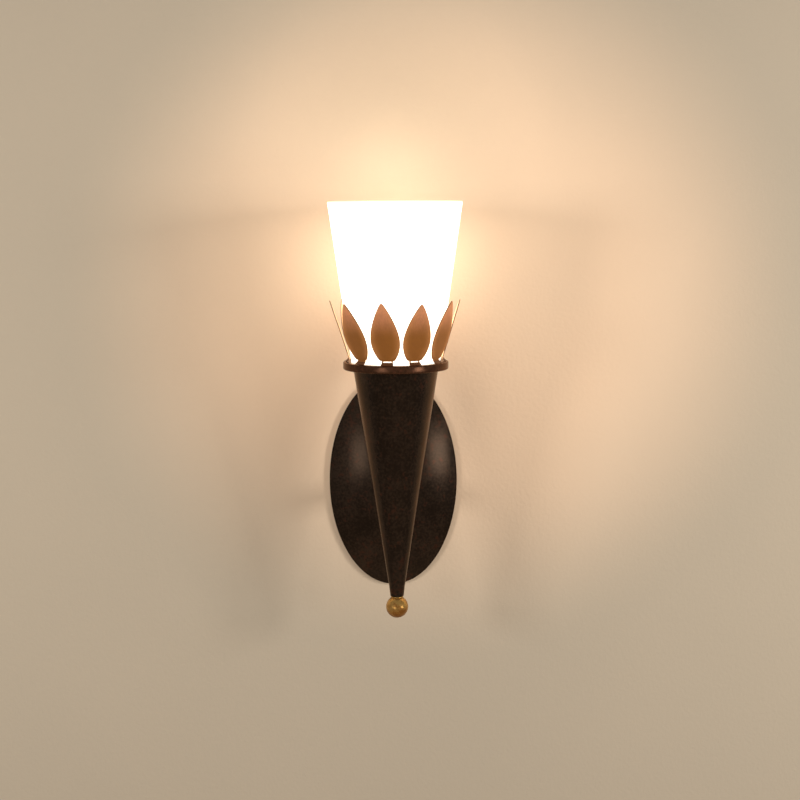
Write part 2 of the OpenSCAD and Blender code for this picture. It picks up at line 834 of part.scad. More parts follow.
// Outside of the glass: a ball and the cone that touches it from the neck
module bulb_envelope(inset) {
    drop = bulb_z - glass_z;
    reach = norm([glass_neck_r, drop]);
    touch = acos(bulb_r / reach) - atan(drop / glass_neck_r);
    touch_r = bulb_r * cos(touch);
    touch_z = bulb_z + bulb_r * sin(touch);
    translate([0, 0, bulb_z]) sphere(r = bulb_r - inset);
    translate([0, 0, glass_z]) cylinder(
        h = touch_z - glass_z, r1 = glass_neck_r - inset, r2 = touch_r - inset);
}

module bulb_glass() {
    color([0.95, 0.94, 0.90]) on_torch() difference() {
        bulb_envelope(0);
        bulb_envelope(glass_t);
        translate([0, 0, glass_z - 1]) cylinder(h = 1 + EPS, r = glass_neck_r + 1);
    }
}

// The two wires that carry the filament, from just inside the stem's top
module filament_wires(r) {
    foot_z = stem_z + stem_h - 1;
    spread = filament_half - filament_foot_x;
    rise = filament_z - foot_z;
    for (side = [-1, 1]) translate([side * filament_foot_x, 0, foot_z])
        rotate([0, side * atan(spread / rise), 0]) cylinder(h = norm([spread, rise]), r = r);
}

module bulb_stem() {
    color([0.85, 0.88, 0.88]) on_torch() difference() {
        translate([0, 0, stem_z]) cylinder(h = stem_h, r1 = 6, r2 = 2.6);
        filament_wires(filament_wire_r + run / 2);
    }
}

module bulb_filament() {
    color([0.35, 0.34, 0.33]) on_torch() {
        filament_wires(filament_wire_r);
        translate([-filament_half - 0.6, 0, filament_z]) rotate([0, 90, 0])
            cylinder(h = 2 * filament_half + 1.2, r = 0.8);
    }
}

// --------------------------------------------------------------------- shade

module glass_shade() {
    foot_r = shade_foot_d / 2;
    top_r = shade_top_d / 2;
    color([0.97, 0.95, 0.88]) on_torch() translate([0, 0, shade_z]) difference() {
        cylinder(h = shade_h, r1 = foot_r, r2 = top_r);
        translate([0, 0, -EPS])
            cylinder(h = shade_h + 2 * EPS, r1 = foot_r - shade_t, r2 = top_r - shade_t);
    }
}

// --------------------------------------------------------------------- leads

module lead_live() {
    color([0.10, 0.10, 0.10]) lead(lead_route(lead_in_cone, lead_in_arm, 1));
}

module lead_neutral() {
    color([0.92, 0.91, 0.88]) lead(lead_route(lead_in_cone, lead_in_arm, -1));
}

module lead_earth() {
    color([0.25, 0.55, 0.30]) lead(lead_route(earth_in_cone, earth_in_arm, 1));
}

// ------------------------------------------------------------------ assembly

back_plate();
mounting_strap();
strap_studs();
stud_locknuts();
cap_nuts();
earth_screw();
terminal_block();
terminal_inserts();
terminal_screws();
block_screw();
arm_collar();
arm_tube();
arm_bush();
arm_nipple();
nipple_washer();
nipple_locknut();
nipple_bushing();
wire_grommet();
torch_cone();
crown_ring();
shade_pan();
pan_earth_screw();
earth_tags();
shade_gasket();
centre_rod();
rod_washer();
rod_nut();
finial_washer();
ball_finial();
lampholder_cap();
lampholder_body();
lampholder_screws();
screw_shell();
centre_contact();
bulb_tip();
bulb_insulator();
bulb_cap();
bulb_glass();
bulb_stem();
bulb_filament();
glass_shade();
lead_live();
lead_neutral();
lead_earth();
for (i = [0:leaves - 1])
    placed_leaf(i);
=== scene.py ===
# %% [markdown]
# # A torch-shaped wall light
# The frame holds the light as it is built: every plate, tube, nut and lead at its
# real size. This lesson gives each piece its finish, and models again the pieces
# that want a smoother or richer surface than a working drawing has.

# %% Load the frame
import json
import math

import bmesh
import bpy
from mathutils import Matrix, Vector, noise


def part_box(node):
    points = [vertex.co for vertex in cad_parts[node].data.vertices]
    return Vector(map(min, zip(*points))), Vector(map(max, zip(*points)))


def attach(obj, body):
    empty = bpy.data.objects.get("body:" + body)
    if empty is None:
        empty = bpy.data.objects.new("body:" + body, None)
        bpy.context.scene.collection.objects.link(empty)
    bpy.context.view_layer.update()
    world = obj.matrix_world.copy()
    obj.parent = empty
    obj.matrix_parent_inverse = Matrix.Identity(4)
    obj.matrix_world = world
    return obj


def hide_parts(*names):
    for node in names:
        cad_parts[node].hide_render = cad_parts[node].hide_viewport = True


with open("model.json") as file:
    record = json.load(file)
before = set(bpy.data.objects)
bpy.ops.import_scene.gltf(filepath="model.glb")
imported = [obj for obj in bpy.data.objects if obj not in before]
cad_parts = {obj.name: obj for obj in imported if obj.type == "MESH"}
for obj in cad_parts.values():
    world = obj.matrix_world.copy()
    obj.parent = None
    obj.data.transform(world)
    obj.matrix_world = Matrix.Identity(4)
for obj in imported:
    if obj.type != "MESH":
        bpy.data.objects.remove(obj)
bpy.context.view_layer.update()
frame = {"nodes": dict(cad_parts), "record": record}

# %% [markdown]
# ## Camera
# The light was seen from a little left of its middle and above it, looking
# slightly down. The camera stands where the ellipses of the glass rim and the
# ring, and the shift of the plate behind the torch, say that it stood.

# %% Camera
CAMERA_PLACE = Vector((-0.050, -1.428, 0.265))
CAMERA_YAW = math.radians(2.3)
CAMERA_PITCH = math.radians(-7.3)
CAMERA_ROLL = math.radians(-0.3)
CAMERA_LENS = 63.9


def make_camera():
    data = bpy.data.cameras.new("camera")
    data.lens = CAMERA_LENS
    camera = bpy.data.objects.new("camera", data)
    turn = (
        Matrix.Rotation(-CAMERA_YAW, 4, "Z")
        @ Matrix.Rotation(math.radians(90) + CAMERA_PITCH, 4, "X")
        @ Matrix.Rotation(CAMERA_ROLL, 4, "Z")
    )
    camera.matrix_world = Matrix.Translation(CAMERA_PLACE) @ turn
    bpy.context.scene.collection.objects.link(camera)
    bpy.context.scene.camera = camera


make_camera()
bpy.context.scene.view_settings.view_transform = "Standard"
print("camera at", [round(value, 3) for value in CAMERA_PLACE])

# %% [markdown]
# ## Arithmetic on shader sockets
# A procedural finish is a sum of patterns. Written as plain expressions it reads
# like the recipe it is, so a small class wraps a socket: `1 - wear * 0.5` adds
# the Math nodes by itself, and one method adds every other kind of node.

# %% A wire in a node tree
MIX_FACTOR, MIX_A, MIX_B, MIX_RESULT = 0, 6, 7, 2


class Wire:
    """One output in a material's node tree, with arithmetic."""

    def __init__(self, tree, socket=None):
        self.tree = tree
        self.socket = socket

    def node(self, kind, settings=None, sockets=None, output=0):
        """Adds a node: its settings come first, then a value or a wire for each socket."""
        made = self.tree.nodes.new(kind)
        for name, value in (settings or {}).items():
            setattr(made, name, value)
        for name, value in (sockets or {}).items():
            if isinstance(value, Wire):
                self.tree.links.new(value.socket, made.inputs[name])
            else:
                made.inputs[name].default_value = value
        return Wire(self.tree, made.outputs[output] if len(made.outputs) else None)

    def math(self, operation, *values):
        return self.node("ShaderNodeMath", {"operation": operation}, dict(enumerate(values)))

    def __add__(self, other):
        return self.math("ADD", self, other)

    def __sub__(self, other):
        return self.math("SUBTRACT", self, other)

    def __rsub__(self, other):
        return self.math("SUBTRACT", other, self)

    def __mul__(self, other):
        return self.math("MULTIPLY", self, other)

    __radd__ = __add__
    __rmul__ = __mul__

    def ramp(self, low, high):
        """0 at low, 1 at high and a soft step between; low may be the larger."""
        limits = {"Value": self, "From Min": low, "From Max": high}
        return self.node("ShaderNodeMapRange", {"interpolation_type": "SMOOTHSTEP"}, limits)

    def noise(self, size, detail=3.0, stretch=(1, 1, 1)):
        """Cloudy values round 0.5; size is the width of a cloud, in metres."""
        place = self.node("ShaderNodeVectorMath", {"operation": "MULTIPLY"}, {0: self, 1: stretch})
        sockets = {"Vector": place, "Scale": 1 / size, "Detail": detail}
        return place.node("ShaderNodeTexNoise", {}, sockets)

    def axis(self, letter):
        return self.node("ShaderNodeSeparateXYZ", {}, {0: self}, output="XYZ".index(letter))

    def distance(self, spot):
        """Metres from the fixed point spot."""
        return self.node("ShaderNodeVectorMath", {"operation": "DISTANCE"}, {0: self, 1: spot}, output=1)


def mixed(factor, first, second):
    """A colour that goes from first to second as the wire factor goes from 0 to 1."""
    colours = {MIX_FACTOR: factor, MIX_A: first, MIX_B: second}
    return factor.node("ShaderNodeMix", {"data_type": "RGBA"}, colours, output=MIX_RESULT)


# %% [markdown]
# ## From a recipe to a material
# Every finish starts from each point's own place on its piece, in metres, so a
# pattern keeps its real scale and rides with the piece. It ends in one
# Principled shader. A fine relief goes through a Bump node.

# %% Start and end of a finish
def start_finish(name):
    material = bpy.data.materials.new(name)
    material.use_nodes = True
    material.node_tree.nodes.clear()
    place = Wire(material.node_tree).node("ShaderNodeTexCoord", output="Object")
    return material, place


def end_finish(place, relief=None, depth=0.0, **sockets):
    """Spaces in socket names are written as underscores. depth is the relief's height in metres."""
    values = {name.replace("_", " "): value for name, value in sockets.items()}
    if relief:
        values["Normal"] = relief.node("ShaderNodeBump", {}, {"Height": relief, "Distance": depth})
    shader = place.node("ShaderNodeBsdfPrincipled", {}, values)
    place.node("ShaderNodeOutputMaterial", {}, {"Surface": shader})


def colour(red, green, blue):
    """An opaque linear colour."""
    return (red, green, blue, 1.0)


# %% [markdown]
# ## Wall, floor and light
# A wall light hangs on a wall. The wall is a plain warm plaster sheet just
# behind the plate. Its colour is a painted pool of lamplight: it goes from a greyer
# tone far off to a peach tone round the lit glass. Just above the glass, where
# its own glow falls strongest, the plaster is painted darker as painted shade, so
# that it isn't burnt out to white. The sheet is see-through from its back, so
# that the fixing behind the plate can be looked at too.

# %% Plaster finish
WALL_GAP = 0.0006
GLOW_MIDDLE = Vector((0.05, WALL_GAP, 0.19))
GLOW_REACH = 0.39
GLOW_CORE = 0.16
HOT_SPOT = Vector((0, WALL_GAP, 0.34))
PLASTER_FAR = colour(0.535, 0.468, 0.378)
PLASTER_LAMPLIT = colour(1.00, 0.750, 0.545)
PLASTER_BLOTCH = colour(0.62, 0.53, 0.42)
PLASTER_SHADED = colour(0.50, 0.42, 0.33)
PIT_DEPTH = 0.0003


def plaster():
    material, place = start_finish("plaster")
    glow = place.distance(GLOW_MIDDLE).ramp(GLOW_REACH, GLOW_CORE)
    blotches = place.noise(0.30, detail=2.0)
    # painted pool of lamplight round the glass
    shade = mixed(glow, PLASTER_FAR, PLASTER_LAMPLIT)
    shade = mixed(blotches.ramp(0.3, 0.7) * 0.2, shade, PLASTER_BLOTCH)
    # painted shade over the spot where the glow is strongest
    shade = mixed(place.distance(HOT_SPOT).ramp(0.15, 0.03) * 0.45, shade, PLASTER_SHADED)
    pits = place.noise(0.004, detail=3.0)
    relief = pits.node("ShaderNodeBump", {}, {"Height": pits, "Distance": PIT_DEPTH})
    coat = place.node("ShaderNodeBsdfDiffuse", {}, {"Color": shade, "Normal": relief})
    clear = place.node("ShaderNodeBsdfTransparent")
    from_behind = place.node("ShaderNodeNewGeometry", output="Backfacing")
    for_lamps = place.node("ShaderNodeLightPath", output="Is Shadow Ray")
    see_through = from_behind.math("MAXIMUM", from_behind, for_lamps)
    both = place.node("ShaderNodeMixShader", {}, {0: see_through, 1: coat, 2: clear})
    place.node("ShaderNodeOutputMaterial", {}, {"Surface": both})
    return material


# %% Wall and floor
ROOM_HALF_WIDTH = 2.5
ROOM_DEPTH = 4.0
FLOOR_Z = -1.1
CEILING_Z = 2.2


def backdrop_sheet(name, corners, material):
    mesh = bpy.data.meshes.new(name)
    mesh.from_pydata(corners, [], [range(len(corners))])
    mesh.materials.append(material)
    sheet = bpy.data.objects.new(name, mesh)
    bpy.context.scene.collection.objects.link(sheet)


def make_room():
    left, right = -ROOM_HALF_WIDTH, ROOM_HALF_WIDTH
    wall = [
        (left, WALL_GAP, FLOOR_Z), (right, WALL_GAP, FLOOR_Z),
        (right, WALL_GAP, CEILING_Z), (left, WALL_GAP, CEILING_Z),
    ]
    floor = [
        (left, WALL_GAP, FLOOR_Z), (left, -ROOM_DEPTH, FLOOR_Z),
        (right, -ROOM_DEPTH, FLOOR_Z), (right, WALL_GAP, FLOOR_Z),
    ]
    finish = plaster()
    backdrop_sheet("wall_behind", wall, finish)
    backdrop_sheet("pale_floor", floor, finish)


make_room()
print("the wall stands", WALL_GAP * 1000, "mm behind the plate")

# %% [markdown]
# ## Lamps
# The ball shows one small highlight on either side, and the plate a broad soft
# sheen on either side of the torch, so two panels stand level with the light.
# The torch's soft shadows lie far out on the wall, so two more lamps stand well
# to the sides. They are left out of reflections, as only their shadows show. A
# lamp behind the wall lights the fixing when it is looked at from there. The
# world fills in the rest, so that a colour comes out about as it is written.

# %% Lamps
LAMP_COLOUR = (1.0, 0.93, 0.84)
LAMP_AIM = Vector((0, -0.05, 0.03))
LAMPS = [
    # azimuth and elevation in degrees; distance, width and height in metres; power in watts;
    # whether it shows in reflections
    ("lamp_left", -53, 10, 1.7, 0.36, 0.36, 10.5, False),
    ("lamp_right", 57, 10, 1.7, 0.36, 0.36, 12.0, False),
    ("panel_left", -31, -1, 1.6, 0.42, 0.36, 2.0, True),
    ("panel_right", 47, -1, 1.6, 0.45, 0.36, 3.8, True),
    ("lamp_behind", 180, 20, 1.5, 1.2, 1.2, 6.0, True),
]


def make_lamp(name, azimuth, elevation, distance, width, height, power, mirrored):
    data = bpy.data.lights.new(name, "AREA")
    data.shape = "RECTANGLE"
    data.size = width
    data.size_y = height
    data.energy = power
    data.color = LAMP_COLOUR
    lamp = bpy.data.objects.new(name, data)
    across, up = math.radians(azimuth), math.radians(elevation)
    back = Vector((
        math.sin(across) * math.cos(up), -math.cos(across) * math.cos(up), math.sin(up)
    ))
    lamp.location = LAMP_AIM + back * distance
    lamp.rotation_euler = back.to_track_quat("Z", "Y").to_euler()
    lamp.visible_camera = False
    lamp.visible_glossy = mirrored
    bpy.context.scene.collection.objects.link(lamp)


for lamp in LAMPS:
    make_lamp(*lamp)
print(len(LAMPS), "lamps")

# %% World
WORLD_COLOUR = colour(1.0, 0.94, 0.86)
WORLD_STRENGTH = 0.27

world = bpy.data.worlds.new("studio")
world.use_nodes = True
studio = world.node_tree.nodes["Background"]
studio.inputs["Color"].default_value = WORLD_COLOUR
studio.inputs["Strength"].default_value = WORLD_STRENGTH
bpy.context.scene.world = world
print("a world of strength", WORLD_STRENGTH)

# %% [markdown]
# ## Dark bronze
# The cone, the arm and the plate are steel with a bronze finish: almost black,
# sandy to the touch, with sparse rust-red specks where the second colour was
# sponged on. A plain metal would mirror too much here and a plain paint too
# little, so the coat is partly metallic and very dark, with a low refractive
# index: what it mirrors comes out brown, and only its outermost edge turns light.
# The ring has more of the red, and its copy of the finish is painted lighter, as
# painted light that the ring catches from the glass above.

# %% Dark bronze
BRONZE_GLINT = colour(0.90, 0.72, 0.58)
finishes = {}


def dark_bronze(name, dark, light, rust):
    """Fine mottling between two linear colours, with specks of a third."""
    material, place = start_finish(name)
    clouds = place.noise(0.022, detail=2.0)
    grains = place.noise(0.0024, detail=3.0)
    sand = place.noise(0.0008, detail=2.0)
    mottle = (grains * 0.65 + clouds * 0.35).ramp(0.38, 0.64)
    specks = (place.noise(0.0048, detail=2.0) * 0.7 + clouds * 0.3).ramp(0.56, 0.66)
    base = mixed(specks * 0.7, mixed(mottle, dark, light), rust)
    end_finish(
        place,
        relief=sand * 0.6 + grains * 0.4,
        depth=0.00003,
        Base_Color=base,
        Roughness=0.20 + mottle * 0.07,
        Metallic=0.6,
        IOR=1.3,
        Specular_Tint=BRONZE_GLINT,
    )
    return material


finishes["dark_bronze"] = dark_bronze(
    "dark_bronze", colour(0.0225, 0.0146, 0.0102), colour(0.0450, 0.0290, 0.0200),
    colour(0.0640, 0.0245, 0.0148))
# a redder copy, painted lighter as painted light from the glass above
ring_bronze_lit = dark_bronze(
    "ring_bronze_lit", colour(0.062, 0.0270, 0.0140), colour(0.102, 0.0445, 0.0240),
    colour(0.125, 0.0450, 0.0260))
print("dark bronze for the torch, and", ring_bronze_lit.name, "with more red for the ring")

# %% [markdown]
# ## Antique gold
# The ball is brass under a brown glaze that was wiped while wet, so it stayed in
# the hollows, and the highlights are pale. Clouds and specks of noise say where
# the glaze is. Towards the bottom the ball is painted darker as painted shade,
# and height adds that to them.

# %% Antique gold
ball_low, ball_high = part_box("ball_finial")


def antique_gold():
    material, place = start_finish("antique_gold")
    glaze = place.noise(0.006, detail=4.0)
    specks = place.noise(0.0011, detail=2.0)
    # painted shade: darker towards the bottom of the ball
    low = place.axis("Z").ramp(ball_high.z, ball_low.z)
    glaze_and_low_shade = (glaze * 0.7 + specks * 0.3 + low * 0.24).ramp(0.46, 0.76)
    base = mixed(glaze_and_low_shade, colour(0.66, 0.400, 0.122), colour(0.265, 0.102, 0.015))
    end_finish(
        place,
        relief=specks,
        depth=0.00006,
        Base_Color=base,
        Roughness=0.27 + glaze_and_low_shade * 0.15,
        Metallic=0.9 - glaze_and_low_shade * 0.3,
    )
    return material


finishes["antique_gold"] = antique_gold()
print("antique gold for a ball", round((ball_high.x - ball_low.x) * 1000, 1), "mm across")

# %% [markdown]
# ## Leaf bronze
# The leaves are cut from sheet and brushed lengthwise. Their finish is browner
# low down. Towards the tip and along the edges it is painted lighter and more
# coppery, as painted glare from the lit glass behind, and their feet are as dark
# as the ring. How near a point is to the leaf's edge is stored on the mesh as the
# number "rim", because only the maker of the outline knows it: it rises to 1 at
# the end of the face and to 2 on the sheet's own cut edge, which is dark. The
# number "inside" is 1 on the face towards the glass, which is painted a paler
# cream as painted light from the glass, and 0 on the face towards the room.

# %% Leaf bronze
ring_low, ring_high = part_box("crown_ring")
MM = 0.001
FOLD_H = 3.2 * MM
LEAF_LOW = colour(0.335, 0.124, 0.0220)
LEAF_TOP_GLARE = colour(0.88, 0.376, 0.203)
LEAF_EDGE_GLARE = colour(0.92, 0.41, 0.15)
LEAF_STREAK = colour(0.190, 0.070, 0.018)
LEAF_INSIDE_LIT = colour(1.0, 0.78, 0.48)
LEAF_FOOT = colour(0.150, 0.060, 0.024)


def leaf_bronze():
    material, place = start_finish("leaf_bronze")
    height = place.axis("Z")
    rim = place.node("ShaderNodeAttribute", {"attribute_name": "rim"}, output=2)
    streaks = place.noise(0.0009, detail=3.0, stretch=(1, 1, 0.03))
    clouds = place.noise(0.009, detail=3.0)
    # painted glare: lighter and rosier towards the tip
    glare_to_tip = height.ramp(ring_high.z + 25 * MM, ring_high.z + 56 * MM)
    base = mixed(glare_to_tip, LEAF_LOW, LEAF_TOP_GLARE)
    near = rim.math("MINIMUM", rim, 1.0)
    # painted glare along the leaf's edges
    base = mixed(near * near * 0.5, base, LEAF_EDGE_GLARE)
    brushed = (streaks * 0.5 + clouds * 0.5).ramp(0.62, 0.38)
    base = mixed(brushed * 0.20, base, LEAF_STREAK)
    inside = place.node("ShaderNodeAttribute", {"attribute_name": "inside"}, output=2)
    # painted light from the glass on the face towards it
    base = mixed(inside * 0.7, base, LEAF_INSIDE_LIT)
    foot = height.ramp(ring_high.z + FOLD_H - 0.3 * MM, ring_high.z + FOLD_H - 0.9 * MM)
    dark = foot.math("MAXIMUM", foot, rim.ramp(1.1, 1.6))
    end_finish(
        place,
        relief=streaks,
        depth=0.00004,
        Base_Color=mixed(dark, base, LEAF_FOOT),
        Roughness=0.42 + clouds * 0.12,
        Metallic=0.2,
    )
    return material


finishes["leaf_bronze"] = leaf_bronze()
print("leaf bronze is dark up to", round((ring_high.z + FOLD_H) / MM, 1), "mm")

# %% [markdown]
# ## Lit glass
# A lamp behind opal glass lights it evenly, and the rim, where the glass ends,
# is dimmer and creamier. Light that really passed through the glass would be
# slow and grainy, so the glass glows by itself. The glow depends only on the
# height on the glass, so it is the same from every side.

# %% Opal and frosted glass
shade_low, shade_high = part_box("glass_shade")


def glowing_glass(name, strength, core, rim, rim_start, rim_end):
    """The glow goes from the core colour to the rim colour between two heights."""
    material, place = start_finish(name)
    rise = place.axis("Z").ramp(rim_start, rim_end)
    clouds = place.noise(0.03, detail=2.0)
    end_finish(
        place,
        Base_Color=mixed(clouds, colour(0.86, 0.83, 0.76), colour(0.90, 0.88, 0.82)),
        Roughness=0.28,
        Coat_Weight=0.3,
        Coat_Roughness=0.08,
        Emission_Color=mixed(rise, core, rim),
        Emission_Strength=strength,
    )
    return material


finishes["opal_glass"] = glowing_glass(
    "opal_glass", 1.9, colour(1.0, 0.93, 0.80), colour(0.42, 0.38, 0.22),
    shade_high.z - 2.2 * MM, shade_high.z - 0.6 * MM)
bulb_low, bulb_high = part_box("bulb_glass")
finishes["frosted_glass"] = glowing_glass(
    "frosted_glass", 1.2, colour(1.0, 0.86, 0.62), colour(1.0, 0.93, 0.80), bulb_low.z, bulb_high.z)
print("the glass glows over", round((shade_high.z - shade_low.z) / MM), "mm of height")

# %% [markdown]
# ## Plain finishes
# The parts inside are zinc-plated steel, brass, porcelain, enamel, nylon and
# rubber. Each is the same recipe with other numbers: soft clouds and a finer
# grain between a lighter and a darker tone, and the grain again as a relief.

# %% Plain finishes
PLAIN_FINISHES = [
    # slot, light and dark colour, cloud in mm, roughness, metallic, coat, relief in mm
    ("zinc_steel", colour(0.60, 0.60, 0.57), colour(0.38, 0.39, 0.39), 5, 0.30, 1.0, 0.0, 0.012),
    ("plain_brass", colour(0.66, 0.47, 0.17), colour(0.42, 0.26, 0.08), 6, 0.26, 1.0, 0.0, 0.008),
    ("cap_aluminium", colour(0.64, 0.63, 0.58), colour(0.46, 0.45, 0.41), 7, 0.25, 1.0, 0.0, 0.006),
    ("solder", colour(0.45, 0.45, 0.44), colour(0.27, 0.27, 0.26), 2, 0.40, 1.0, 0.0, 0.030),
    ("green_screw", colour(0.045, 0.20, 0.060), colour(0.020, 0.11, 0.032), 3, 0.28, 0.6, 0.1, 0.010),
    ("white_enamel", colour(0.76, 0.75, 0.70), colour(0.68, 0.66, 0.59), 14, 0.22, 0.0, 0.5, 0.012),
    ("white_porcelain", colour(0.80, 0.78, 0.71), colour(0.72, 0.69, 0.60), 11, 0.16, 0.0, 0.6, 0.008),
    ("white_nylon", colour(0.72, 0.70, 0.62), colour(0.63, 0.60, 0.51), 6, 0.38, 0.0, 0.0, 0.015),
    ("grey_gasket", colour(0.075, 0.070, 0.062), colour(0.045, 0.042, 0.038), 3, 0.62, 0.0, 0.0, 0.030),
    ("black_rubber", colour(0.018, 0.018, 0.018), colour(0.009, 0.009, 0.009), 3, 0.55, 0.0, 0.0, 0.025),
    ("black_glass", colour(0.012, 0.012, 0.014), colour(0.006, 0.006, 0.007), 5, 0.10, 0.0, 0.7, 0.004),
    ("black_lead", colour(0.022, 0.021, 0.020), colour(0.010, 0.010, 0.010), 1, 0.42, 0.0, 0.0, 0.030),
    ("white_lead", colour(0.70, 0.67, 0.60), colour(0.56, 0.53, 0.46), 1, 0.42, 0.0, 0.0, 0.030),
    ("green_lead", colour(0.035, 0.165, 0.050), colour(0.018, 0.090, 0.028), 1, 0.42, 0.0, 0.0, 0.030),
]


def plain_finish(name, light, dark, cloud, roughness, metallic, coat, relief, **extra):
    material, place = start_finish(name)
    grain = place.noise(cloud * MM / 7, detail=3.0)
    tone = (place.noise(cloud * MM, detail=3.0) * 0.65 + grain * 0.35).ramp(0.36, 0.62)
    end_finish(
        place,
        relief=grain,
        depth=relief * MM,
        Base_Color=mixed(tone, dark, light),
        Roughness=roughness + (1 - tone) * 0.14,
        Metallic=metallic,
        Coat_Weight=coat,
        **extra,
    )
    finishes[name] = material


for recipe in PLAIN_FINISHES:
    plain_finish(*recipe)
plain_finish("clear_glass", colour(0.90, 0.94, 0.94), colour(0.84, 0.90, 0.90), 8, 0.03, 0.0, 0.0, 0.002,
             Transmission_Weight=1.0, IOR=1.5)
plain_finish("tungsten", colour(0.30, 0.28, 0.26), colour(0.20, 0.18, 0.16), 1, 0.40, 1.0, 0.0, 0.004,
             Emission_Color=colour(1.0, 0.66, 0.30), Emission_Strength=8.0)
print(len(finishes) + 1, "finishes")

# %% [markdown]
# ## Shapes by turning
# Most of the light is turned, spun or pressed round: a cross-section swept about
# an axis. The section is drawn as a list of corners, each with the radius that
# rounds it, because no real edge is sharp and a rounded edge catches the light.
# Its outer sizes are asked of the frame, so it fits what it is built into.

# %% Radius of a round node
def radius_of(node):
    """Half the width of a node of the frame."""
    low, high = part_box(node)
    return (high.x - low.x) / 2


# %% Round corners
ARC_STEPS = 5


def rounded(corners, closed=True):
    """Corners are (radius, height) or (radius, height, rounding); the result has no sharp corner."""
    corners = [(*corner, 0)[:3] for corner in corners]
    points = []
    count = len(corners)
    for i, (x, y, rounding) in enumerate(corners):
        here = Vector((x, y))
        if rounding <= 0 or (not closed and i in (0, count - 1)):
            points.append(here)
            continue
        back = (Vector(corners[i - 1][:2]) - here).normalized()
        ahead = (Vector(corners[(i + 1) % count][:2]) - here).normalized()
        half = back.angle(ahead) / 2
        middle = here + (back + ahead).normalized() * (rounding / math.sin(half))
        start = here + back * (rounding / math.tan(half)) - middle
        sweep = start.angle_signed(here + ahead * (rounding / math.tan(half)) - middle)
        for step in range(ARC_STEPS + 1):
            turn = Matrix.Rotation(-sweep * step / ARC_STEPS, 2)
            points.append(middle + turn @ start)
    return points


# %% Turn a section about an upright axis
def turned(section, segments=96, centre=(0, 0), shape=None):
    """A bmesh from a closed section of (radius, height) points. shape may change a point:
    it takes its radius, height and angle and gives its new radius and height."""
    build = bmesh.new()
    rings = []
    for radius, height in section:
        if radius < 1e-7:
            pole = build.verts.new((centre[0], centre[1], height))
            rings.append([pole] * segments)
            continue
        ring = []
        for step in range(segments):
            angle = math.tau * step / segments
            r, z = shape(radius, height, angle) if shape else (radius, height)
            x, y = centre[0] + r * math.cos(angle), centre[1] + r * math.sin(angle)
            ring.append(build.verts.new((x, y, z)))
        rings.append(ring)
    for upper, lower in zip(rings, rings[1:] + rings[:1]):
        for step in range(segments):
            following = (step + 1) % segments
            corners = [upper[step], upper[following], lower[following], lower[step]]
            face = list(dict.fromkeys(corners))
            if len(face) > 2:
                build.faces.new(face)
    return build


# %% Lay a turned piece down, and merge pieces
def facing_room(build, x=0.0, z=0.0):
    """Lays a turned piece down: its heights now run from the wall into the room."""
    lay_down = Matrix.Translation((x, 0, z)) @ Matrix.Rotation(math.pi / 2, 4, "X")
    bmesh.ops.transform(build, matrix=lay_down, verts=build.verts)
    return build


def merged(builds):
    """Several bmeshes as one."""
    whole = bmesh.new()
    for build in builds:
        mesh = bpy.data.meshes.new("part")
        build.to_mesh(mesh)
        build.free()
        whole.from_mesh(mesh)
        bpy.data.meshes.remove(mesh)
    return whole


# %% [markdown]
# ## From a mesh to a piece
# Each new piece takes the place of one node of the frame. It rides on that
# node's body and has that node's material slot. The record says both, so they
# are looked up there and never typed again.

# %% Put a piece in the scene
SMOOTH_ANGLE = math.radians(35)
BODY_OF = {
    node: body
    for body, members in frame["record"]["behaviour"]["bodies"].items() for node in members
}
SLOT_OF = {part["node"]: part["material_slot"] for part in frame["record"]["subparts"]}


def put(name, build, body, slot, finish=None):
    """A smooth-shaded piece from a bmesh; it rides on the body and takes the record's slot."""
    mesh = bpy.data.meshes.new(name)
    bmesh.ops.recalc_face_normals(build, faces=build.faces)
    build.to_mesh(mesh)
    build.free()
    drawing_normals = mesh.attributes.get("custom_normal")
    if drawing_normals:
        mesh.attributes.remove(drawing_normals)
    mesh.shade_smooth()
    mesh.set_sharp_from_angle(angle=SMOOTH_ANGLE)
    mesh.materials.clear()
    mesh.materials.append(finish or finishes[slot])
    piece = bpy.data.objects.new(name, mesh)
    bpy.context.scene.collection.objects.link(piece)
    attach(piece, body)
    return piece


def stand_in(name, build, node, finish=None):
    """A piece in the place of a node of the frame: it takes the node's body and slot."""
    piece = put(name, build, BODY_OF[node], SLOT_OF[node], finish)
    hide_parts(node)
    return piece


# %% [markdown]
# ## Holes and bosses
# A hole or a boss that runs across a turned shape can't be part of its section,
# so a Boolean modifier cuts it out or joins it on. It is applied at once, so
# that the next one starts from a plain mesh.

# %% Cut and join
def tool(build):
    """An object from a bmesh, for a Boolean modifier to read."""
    mesh = bpy.data.meshes.new("tool")
    build.to_mesh(mesh)
    build.free()
    made = bpy.data.objects.new("tool", mesh)
    bpy.context.scene.collection.objects.link(made)
    return made


def carve(piece, cutters, operation="DIFFERENCE"):
    """Cuts each bmesh out of the piece, or joins it on."""
    for build in cutters:
        cutter = tool(build)
        change = piece.modifiers.new("cut", "BOOLEAN")
        change.operation = operation
        change.solver = "EXACT"
        change.object = cutter
        bpy.context.view_layer.update()
        evaluated = piece.evaluated_get(bpy.context.evaluated_depsgraph_get())
        result = bpy.data.meshes.new_from_object(evaluated)
        piece.modifiers.clear()
        piece.data = result
        bpy.data.objects.remove(cutter)
    piece.data.set_sharp_from_angle(angle=SMOOTH_ANGLE)


def rod_along_y(radius, start, end, height=0.0):
    """A plain rod on the line x = 0 at that height, as a tool for cutting or joining."""
    section = [(0, -end), (radius, -end), (radius, -start), (0, -start)]
    build = facing_room(turned(section, 64), z=height)
    bmesh.ops.recalc_face_normals(build, faces=build.faces)
    return build


